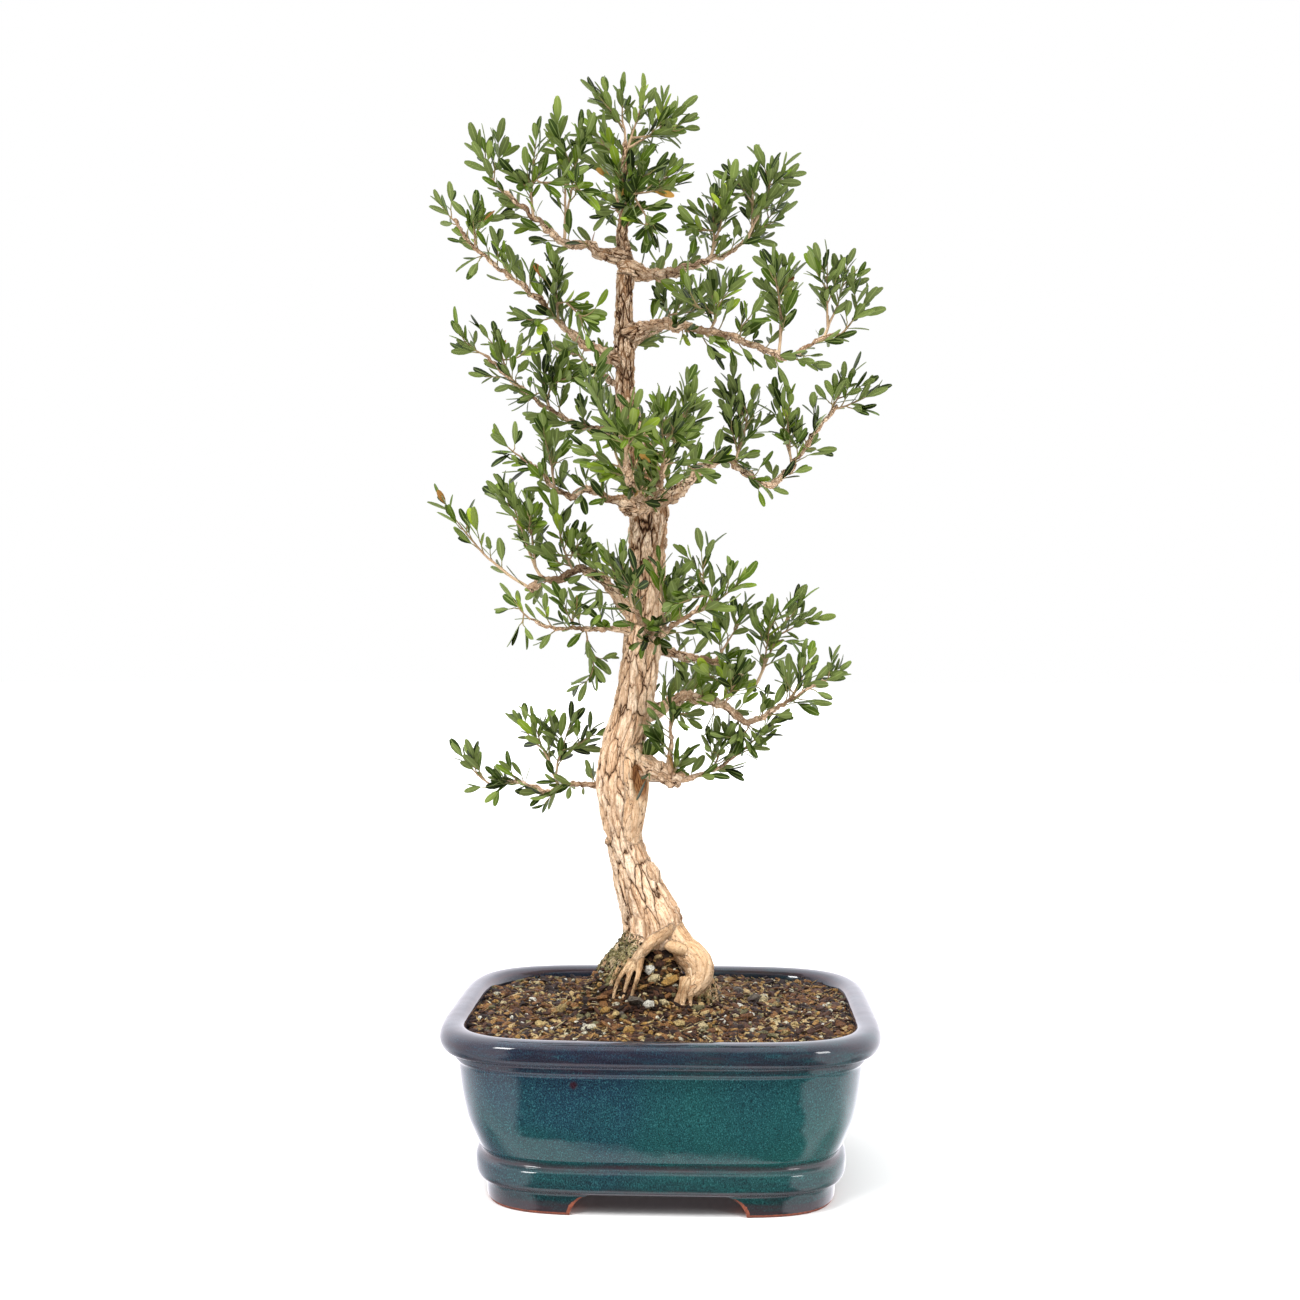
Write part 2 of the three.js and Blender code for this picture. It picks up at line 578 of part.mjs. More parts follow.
// Main twig of a spray, with forks near its root and leaf nodes towards its tip
function planMainTwig(start, goal, forks, pairs, others, wood, draw) {
  return firstClear(() => {
    const curve = twigCurve(start, goal, draw);
    const nodes = nodeShares(curve.getLength() * (1 - forkStep * forks.length), pairs);
    const along = curve.getTangentAt(0);
    const side = new THREE.Vector3(-along.y, along.x, 0.3).cross(along).normalize();
    side.applyAxisAngle(along, draw() * Math.PI);
    const rings = twigRings(curve, side, [...forks, ...nodes]);
    return { nodes, rings, body: loft(rings).subtract(wood.hollow) };
  }, others);
}

// A leafy stem: a main twig and side twigs, one to each tip, with their leaves
function buildSpray(start, tips, others, wood, draw) {
  const goals = tips.map(vec);
  const length = Math.max(start.distanceTo(goals[0]) - terminalReach, pairSpacing);
  const forks = goals.slice(1).map((_, i) => Math.max(firstFork, nearestFork / length) + forkStep * i);
  const crowded = forks.length > 1 ? 1 : 0;
  const main = planMainTwig(start, goals[0], forks, pairsOnMain - crowded, others, wood, draw);
  const { nodes, rings } = main;
  const sidePairs = pairsOnSide - crowded;
  const sideTwigs = goals.slice(1)
    .map((goal, fork) => planSideTwig(rings.slice(2 * fork + 1), fork, goal, sidePairs, others, draw))
    .filter((twig) => twig);
  const own = [[wood.solid, wood.box], ...sideTwigs.map((twig) => [twig.body, twig.body.boundingBox()])];
  const leaves = pairLeaves([rings[0], ...rings.slice(2 * forks.length + 1)], nodes, others, own, draw);

  const skin = new Skin();
  const onMain = new Map([...leaves].map(([key, grown]) => [key + 4 * forks.length, grown]));
  const openAt = Object.fromEntries(sideTwigs.map((twig) => [2 * twig.fork + 1, [twig.k]]));
  const indexed = addTwig(skin, rings, onMain, null, openAt);
  sideTwigs.forEach((twig) => {
    const [low, high] = indexed.slice(2 * twig.fork + 1);
    const near = own.filter(([body]) => body !== twig.body);
    near.push([main.body, main.body.boundingBox()]);
    const grown = pairLeaves(twig.rings, twig.nodes, others, near, draw);
    own.push(...near.slice(own.length));
    addTwig(skin, twig.rings, grown, faceOf(low, high, twig.k), {});
  });
  return mainBody(skin.solid().subtract(wood.hollow).simplify(tidyLimit));
}

function pointOnRoute(route, share) {
  return new THREE.CatmullRomCurve3(route.map(vec)).getPointAt(Math.min(share, furthestRoot));
}

const finishes = {
  glaze: { color: '#1f5a5a', roughness: 0.12, metalness: 0 },
  soil: { color: '#4a382a', roughness: 0.95, metalness: 0 },
  plastic: { color: '#23262a', roughness: 0.6, metalness: 0 },
  bark: { color: '#b8946c', roughness: 0.9, metalness: 0 },
  leaf: { color: '#4b7a34', roughness: 0.4, metalness: 0 },
};

function addPiece(group, name, solid, finish) {
  const mesh = new THREE.Mesh(toGeometry(solid), new THREE.MeshStandardMaterial(finishes[finish]));
  mesh.name = name;
  mesh.material.name = finish;
  group.add(mesh);
}

function buildBonsai() {
  const group = new THREE.Group();
  group.name = 'boxwood_bonsai';
  const woodSolid = buildWood(0);
  const hollow = buildWood(clearance);
  addPiece(group, 'pot', buildPot(), 'glaze');
  addPiece(group, 'soil', buildSoil(hollow), 'soil');
  addPiece(group, 'drain_mesh_left', buildDrainMesh(-1), 'plastic');
  addPiece(group, 'drain_mesh_right', buildDrainMesh(1), 'plastic');
  addPiece(group, 'tree_wood', woodSolid, 'bark');

  const wood = { hollow, solid: woodSolid, box: woodSolid.boundingBox() };
  const placed = [];
  const draw = drawFrom(5891);
  limbs.forEach((limb) => {
    limb.sprays.forEach(([share, ...tips], i) => {
      const spray = buildSpray(pointOnRoute(limb.route, share), tips, placed, wood, draw);
      placed.push([spray, spray.boundingBox()]);
      addPiece(group, `spray_${limb.name}_${i + 1}`, spray, 'leaf');
    });
  });

  const box = new THREE.Box3().setFromObject(group);
  const middle = box.getCenter(new THREE.Vector3());
  group.children.forEach((mesh) => mesh.geometry.translate(-middle.x, -middle.y, 0));
  return group;
}

export default buildBonsai();
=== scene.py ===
import json
import math
from functools import partial

import bpy
import numpy as np
from mathutils import Euler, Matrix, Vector

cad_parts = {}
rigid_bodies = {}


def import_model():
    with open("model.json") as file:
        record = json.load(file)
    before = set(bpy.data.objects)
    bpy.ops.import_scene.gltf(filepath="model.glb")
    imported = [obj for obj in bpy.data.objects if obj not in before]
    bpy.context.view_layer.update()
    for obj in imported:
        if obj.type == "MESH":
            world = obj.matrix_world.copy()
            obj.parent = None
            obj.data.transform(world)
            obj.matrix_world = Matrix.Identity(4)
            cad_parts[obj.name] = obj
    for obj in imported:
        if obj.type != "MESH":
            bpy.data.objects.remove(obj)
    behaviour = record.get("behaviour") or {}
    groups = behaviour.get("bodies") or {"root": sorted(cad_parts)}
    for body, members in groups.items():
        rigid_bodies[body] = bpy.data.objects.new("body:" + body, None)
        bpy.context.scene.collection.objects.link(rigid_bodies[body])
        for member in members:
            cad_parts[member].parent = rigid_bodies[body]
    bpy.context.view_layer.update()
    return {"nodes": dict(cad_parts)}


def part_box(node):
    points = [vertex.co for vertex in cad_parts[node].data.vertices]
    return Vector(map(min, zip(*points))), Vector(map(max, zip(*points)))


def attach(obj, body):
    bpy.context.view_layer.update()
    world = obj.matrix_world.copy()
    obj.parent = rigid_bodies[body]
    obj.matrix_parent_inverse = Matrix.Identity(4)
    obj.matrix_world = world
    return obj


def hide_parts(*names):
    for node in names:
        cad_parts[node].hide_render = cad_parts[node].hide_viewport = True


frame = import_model()

# Chinese boxwood bonsai in a glazed pot. Listed points are in millimetres from the pot's centre,
# which the imported model gives, and everything built from them is in metres.
mm = 0.001
potLow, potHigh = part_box("pot")
potCentre = np.array([(potLow.x + potHigh.x) / 2, (potLow.y + potHigh.y) / 2, 0.0])
scene = bpy.context.scene


def linear(hexColour):
    parts = [int(hexColour[i:i + 2], 16) / 255 for i in (1, 3, 5)]
    return [c / 12.92 if c <= 0.04045 else ((c + 0.055) / 1.055) ** 2.4 for c in parts] + [1.0]


# Fills a node's inputs, in order or by name, with values, sockets or other nodes' first outputs
def setInputs(node, inputs):
    for key, value in inputs.items() if isinstance(inputs, dict) else enumerate(inputs):
        if isinstance(key, int):
            socket = node.inputs[key]
        else:
            socket = next(s for s in node.inputs if s.name == key and s.enabled)
        if isinstance(value, bpy.types.Node):
            value = next(s for s in value.outputs if s.enabled)
        if isinstance(value, bpy.types.NodeSocket):
            node.id_data.links.new(value, socket)
        else:
            socket.default_value = value


# Adds a node to a tree. Its kind may name an operation after a dot, and is a shader node's if it doesn't
# say Node. Settings are its properties, a ramp's stops among them.
def addNode(tree, kind, inputs=(), **settings):
    kind, _, operation = kind.partition(".")
    node = tree.nodes.new(kind if "Node" in kind else "ShaderNode" + kind)
    if operation:
        node.operation = operation
    for name, value in settings.items():
        if name == "stops":
            elements = node.color_ramp.elements
            for k, (place, colour) in enumerate(value):
                stop = elements[k] if k < 2 else elements.new(place)
                stop.position = place
                stop.color = linear(colour)
        else:
            setattr(node, name, value)
    setInputs(node, inputs)
    return node


# A new material, a function that adds nodes to it, and its shader
def newMaterial(name):
    material = bpy.data.materials.new(name)
    material.use_nodes = True
    tree = material.node_tree
    return material, partial(addNode, tree), tree.nodes["Principled BSDF"]


# A new Geometry Nodes tree, a function that adds nodes to it, and the sockets that give its inputs, whose
# names are listed by socket type
def newTree(name, **inputs):
    tree = bpy.data.node_groups.new(name, "GeometryNodeTree")
    tree.is_modifier = True
    tree.interface.new_socket("Geometry", in_out="OUTPUT", socket_type="NodeSocketGeometry")
    for kind, labels in {"Geometry": ["Geometry"], **inputs}.items():
        for label in labels:
            tree.interface.new_socket(label, in_out="INPUT", socket_type="NodeSocket" + kind)
    return tree, partial(addNode, tree), tree.nodes.new("NodeGroupInput").outputs


def applyTree(obj, tree, values):
    modifier = obj.modifiers.new(tree.name, "NODES")
    modifier.node_group = tree
    for item in tree.interface.items_tree:
        if item.in_out == "INPUT" and item.name in values:
            modifier[item.identifier] = values[item.name]


def newObject(name, mesh):
    obj = bpy.data.objects.new(name, mesh)
    scene.collection.objects.link(obj)
    return obj


def meshObject(name, points, faces, edges=()):
    mesh = bpy.data.meshes.new(name)
    mesh.from_pydata([tuple(p) for p in points], edges, faces)
    mesh.update()
    return newObject(name, mesh)


def putAttribute(mesh, name, kind, values, domain="POINT"):
    attribute = mesh.attributes.new(name, kind, domain)
    field = "vector" if kind in ("FLOAT_VECTOR", "FLOAT2") else "value"
    attribute.data.foreach_set(field, np.ascontiguousarray(values, np.float32).ravel())


# The plain mesh that an object's modifiers give, as a new object in its place
def bake(obj, name):
    bpy.context.view_layer.update()
    graph = bpy.context.evaluated_depsgraph_get()
    mesh = bpy.data.meshes.new_from_object(obj.evaluated_get(graph), preserve_all_data_layers=True,
        depsgraph=graph)
    bpy.data.objects.remove(obj)
    return newObject(name, mesh)


def toMetres(points):
    return np.asarray(points, float)[:, :3] * mm + potCentre


# How far along a path each point is, in millimetres or in units that change along it
def distances(path, unit=1.0):
    return np.concatenate([[0], np.cumsum(np.linalg.norm(np.diff(path[:, :3], axis=0), axis=1) / unit)])


# Even steps along a smooth curve through listed points; further columns, such as a radius, go along
def smoothPath(points, step):
    hand = np.array(points, float)
    padded = np.vstack([2 * hand[0] - hand[1], hand, 2 * hand[-1] - hand[-2]])
    t = np.linspace(0, 1, 12, endpoint=False)[:, None]
    fine = []
    for a, b, c, d in zip(padded, padded[1:], padded[2:], padded[3:]):
        fine.append(0.5 * (2 * b + (c - a) * t + (2 * a - 5 * b + 4 * c - d) * t ** 2
            + (3 * b - a - 3 * c + d) * t ** 3))
    fine = np.vstack(fine + [hand[-1:]])
    along = distances(fine)
    marks = np.linspace(0, along[-1], max(3, round(along[-1] / step) + 1))
    return np.stack([np.interp(marks, along, column) for column in fine.T], axis=1)


def headings(path):
    along = np.gradient(path[:, :3], axis=0)
    return along / np.linalg.norm(along, axis=1)[:, None]


# Direction along a path and two directions across it that turn with it as little as they can
def pathFrame(path):
    along = headings(path)
    side = np.array([0.0, 1.0, 0.0]) if abs(along[0, 0]) > 0.8 else np.array([1.0, 0.0, 0.0])
    across = np.zeros_like(along)
    for k, direction in enumerate(along):
        side = side - direction * side.dot(direction)
        side /= np.linalg.norm(side)
        across[k] = side
    return along, across, np.cross(along, across)


# Faces round a row of rings, closed at both ends
def loft(rings):
    count, steps = len(rings), len(rings[0])
    faces = [(r * steps + k, r * steps + (k + 1) % steps, (r + 1) * steps + (k + 1) % steps,
        (r + 1) * steps + k) for r in range(count - 1) for k in range(steps)]
    faces.append(tuple(range(steps))[::-1])
    faces.append(tuple(range((count - 1) * steps, count * steps)))
    return np.vstack(rings), faces


# Closed tube of many-sided rings; swell(angle, millimetres along) scales the radius
def tube(path, sides, swell):
    along, across, up = pathFrame(path)
    angles = np.linspace(0, 2 * np.pi, sides, endpoint=False)
    radius = path[:, 3:4] * swell(angles[None], distances(path)[:, None])
    ways = np.cos(angles)[None, :, None] * across[:, None] + np.sin(angles)[None, :, None] * up[:, None]
    return loft(path[:, None, :3] + radius[..., None] * ways)


print("helpers ready")

# Camera where the photograph was taken: level, a little to the right, about a metre off
cameraSettings = {"place": (33.0, -1039.5, 370.0), "turn": 2.3, "lens": 40.3, "sensor": 36.0}
cameraData = bpy.data.cameras.new("camera")
cameraData.lens = cameraSettings["lens"]
cameraData.sensor_width = cameraSettings["sensor"]
camera = newObject("camera", cameraData)
camera.location = toMetres([cameraSettings["place"]])[0]
camera.rotation_euler = (math.radians(90), 0, math.radians(cameraSettings["turn"]))
scene.camera = camera
scene.view_settings.view_transform = "Standard"


# The wood. Each trunk and root point is x, y, z and the radius there.
trunkPath = [
    [0, 8, 84, 6], [-2, 8, 102, 9], [-4, 8, 124, 12], [-6, 7, 142, 13.5], [-7, 5, 157, 17],
    [-6, 1, 172, 21.6], [-10, 2, 184, 19.6], [-17, 3, 201, 16.8], [-23, 4, 219, 14.3],
    [-27.6, 4, 236, 13.2], [-29.7, 4, 252, 14.8], [-30.4, 3, 269, 16.8], [-31, 2, 283, 16.4],
    [-28.8, 1, 300, 15.4], [-23, 0, 318, 15], [-18.7, 0, 340, 14.7], [-15.9, 0, 363, 13.9],
    [-13.7, 0, 388, 13.2], [-11.6, 0, 413, 12.5], [-10.9, 0, 434, 12.5], [-10, 0, 452, 12.9],
    [-9.4, 0, 471, 12.5], [-11.6, 0, 490, 11.1], [-15, 0, 509, 9.6], [-21, 0, 529, 8.2],
    [-26, 0, 549, 6.8], [-26.6, 0, 570, 6.4], [-27.3, 0, 588, 7.1], [-27.3, 0, 605, 6.4],
    [-27.3, 0, 620, 5.9], [-26.6, 0, 635, 6.4], [-26.6, 0, 650, 5.2], [-29, 0, 667, 4.4],
    [-26, -3, 687, 3.6], [-27, -4, 712, 2.6], [-26, -5, 733, 1.6],
]

# The trunk's other wood: how far its bark cracks, how much moss it can carry, and its points. First the
# nub, the swelling round the wound and a bump below it. Then the roots: the big smooth one on the right,
# its split front toes, the knob beside them, its mossy toes, the pale one across the front with its
# fingers, the mossy ones on the left, and the core and forked roots at the back.
otherWood = [
    (0.8, 0, [[-26, 2, 230, 5], [-35, 0, 232, 3.6], [-41, -1, 234, 2.6]]),
    (0.5, 0, [[-26, -1, 306, 9], [-20.5, -5, 293, 10.5], [-19, -6, 279, 10.5], [-19.5, -5, 265, 10],
        [-22, -3, 248, 9], [-24, 0, 232, 8]]),
    (0.9, 0.3, [[-12, -1, 216, 6], [-8.5, -2, 209, 7.6], [-8.5, -1, 202, 6.5]]),
    (0.4, 0, [[-8, 0, 186, 8], [-1, -2, 178, 10], [7, -5, 168, 11], [15, -8, 158, 11.3],
        [22.5, -11, 152.5, 11.2], [26.5, -14, 146.5, 10.8], [25.5, -18, 138, 9], [19, -24, 131, 6]]),
    (0.3, 0, [[18, -20, 139, 5.5], [15, -26, 133, 3.2], [11.5, -31, 128, 2.1], [8, -35, 121, 1.8],
        [6, -38, 108, 1.5]]),
    (0.3, 0, [[20, -22, 137, 5], [16.5, -28, 132, 2.8], [15.5, -33, 127, 1.8], [15, -38, 112, 1.5]]),
    (0.3, 0.2, [[22, -23, 134, 3.5], [20.5, -29, 128, 1.7], [21, -34, 112, 1.3]]),
    (0.3, 0, [[1, -12, 164, 1.4], [5, -15.5, 162, 3.4], [10, -18, 160.5, 4.4], [14.5, -18, 159.5, 3.8],
        [19, -15, 158.5, 1.6]]),
    (0.4, 0.7, [[25, -15, 139, 7.5], [30, -17, 131, 5], [34, -18, 124, 3], [38, -18, 110, 2.2]]),
    (0.3, 0.8, [[27, -20, 135, 4], [27, -24, 127, 1.8], [27.5, -27, 113, 1.3]]),
    (0.3, 0.8, [[31, -17, 135, 4], [33, -22, 127, 1.8], [34, -25, 113, 1.3]]),
    (0.3, 0.8, [[33, -12, 137, 4], [38, -14, 128, 1.9], [42, -15, 110, 1.4]]),
    (0.4, 0, [[6, -8, 179, 5], [3, -14, 173, 5.2], [-3, -18, 168.5, 4.6], [-9, -21, 163, 4],
        [-14, -22, 157.5, 3.6], [-18, -22, 152.5, 3.4]]),
    (0.3, 0, [[-17, -22, 154, 2.6], [-22, -24, 150, 2], [-27, -26, 144.5, 1.7], [-31, -28, 137, 1.5],
        [-34, -30, 124, 1.3]]),
    (0.3, 0, [[-17, -22, 154, 2.6], [-20, -25, 149, 2.1], [-22.2, -27, 143, 1.8], [-24.6, -29, 135, 1.6],
        [-27, -32, 122, 1.4]]),
    (0.3, 0, [[-14, -22, 156.5, 2.6], [-14.5, -25, 150, 2.1], [-16.3, -28, 142, 1.8],
        [-19.4, -31, 133, 1.5], [-22, -34, 120, 1.3]]),
    (0.3, 0.6, [[-20, -20, 153, 2.6], [-27, -20, 150, 1.9], [-32.5, -22, 142, 1.5],
        [-37, -24, 130, 1.3]]),
    (0.7, 1, [[-10, -7, 171, 11], [-17, -12, 160, 8.5], [-24, -15, 151, 6.5], [-31, -17, 143, 5],
        [-38, -19, 134, 3.6]]),
    (0.8, 1, [[-14, 0, 168, 11], [-22, 1, 158.5, 9.6], [-31, 2, 150.5, 8], [-38, 3, 144, 7],
        [-43, 4, 136, 6], [-48, 6, 120, 4]]),
    (0.6, 1, [[-20, -9, 158, 5], [-30, -9, 151, 4], [-39, -9, 143, 3], [-46, -10, 132, 2.2]]),
    (0.8, 0.6, [[-4, 9, 184, 12], [-3, 15, 168, 15], [-2, 19, 154, 15.5], [-2, 21, 140, 15.5],
        [-2, 21, 124, 14], [-2, 20, 108, 10]]),
    (0.8, 0.6, [[6, 10, 162, 11], [16, 22, 148, 9.5], [23, 30, 137, 7.6], [27, 38, 127, 6],
        [35, 44, 119, 4.6], [47, 49, 111, 3.8], [58, 51, 98, 3]]),
    (0.7, 0.6, [[20, 26, 140, 6], [30, 31, 128, 4.4], [40, 31, 118, 3.3], [50, 29, 104, 2.4]]),
    (0.8, 0.6, [[-10, 10, 166, 12], [-20, 24, 151, 10], [-26, 34, 139, 8], [-30, 44, 128, 6.2],
        [-40, 51, 119, 4.8], [-52, 56, 111, 3.8], [-62, 60, 98, 3]]),
    (0.7, 0.6, [[-25, 31, 141, 6], [-22, 45, 129, 4.4], [-28, 57, 119, 3.3], [-32, 66, 104, 2.4]]),
    (0.8, 0.6, [[0, 14, 164, 12], [4, 29, 149, 9.5], [2, 39, 137, 7.6], [8, 49, 127, 6],
        [6, 60, 118, 4.6], [12, 70, 106, 3.4]]),
    (0.7, 0.6, [[2, 37, 139, 5.4], [-7, 48, 127, 4], [-8, 59, 118, 3], [-14, 68, 104, 2.2]]),
]

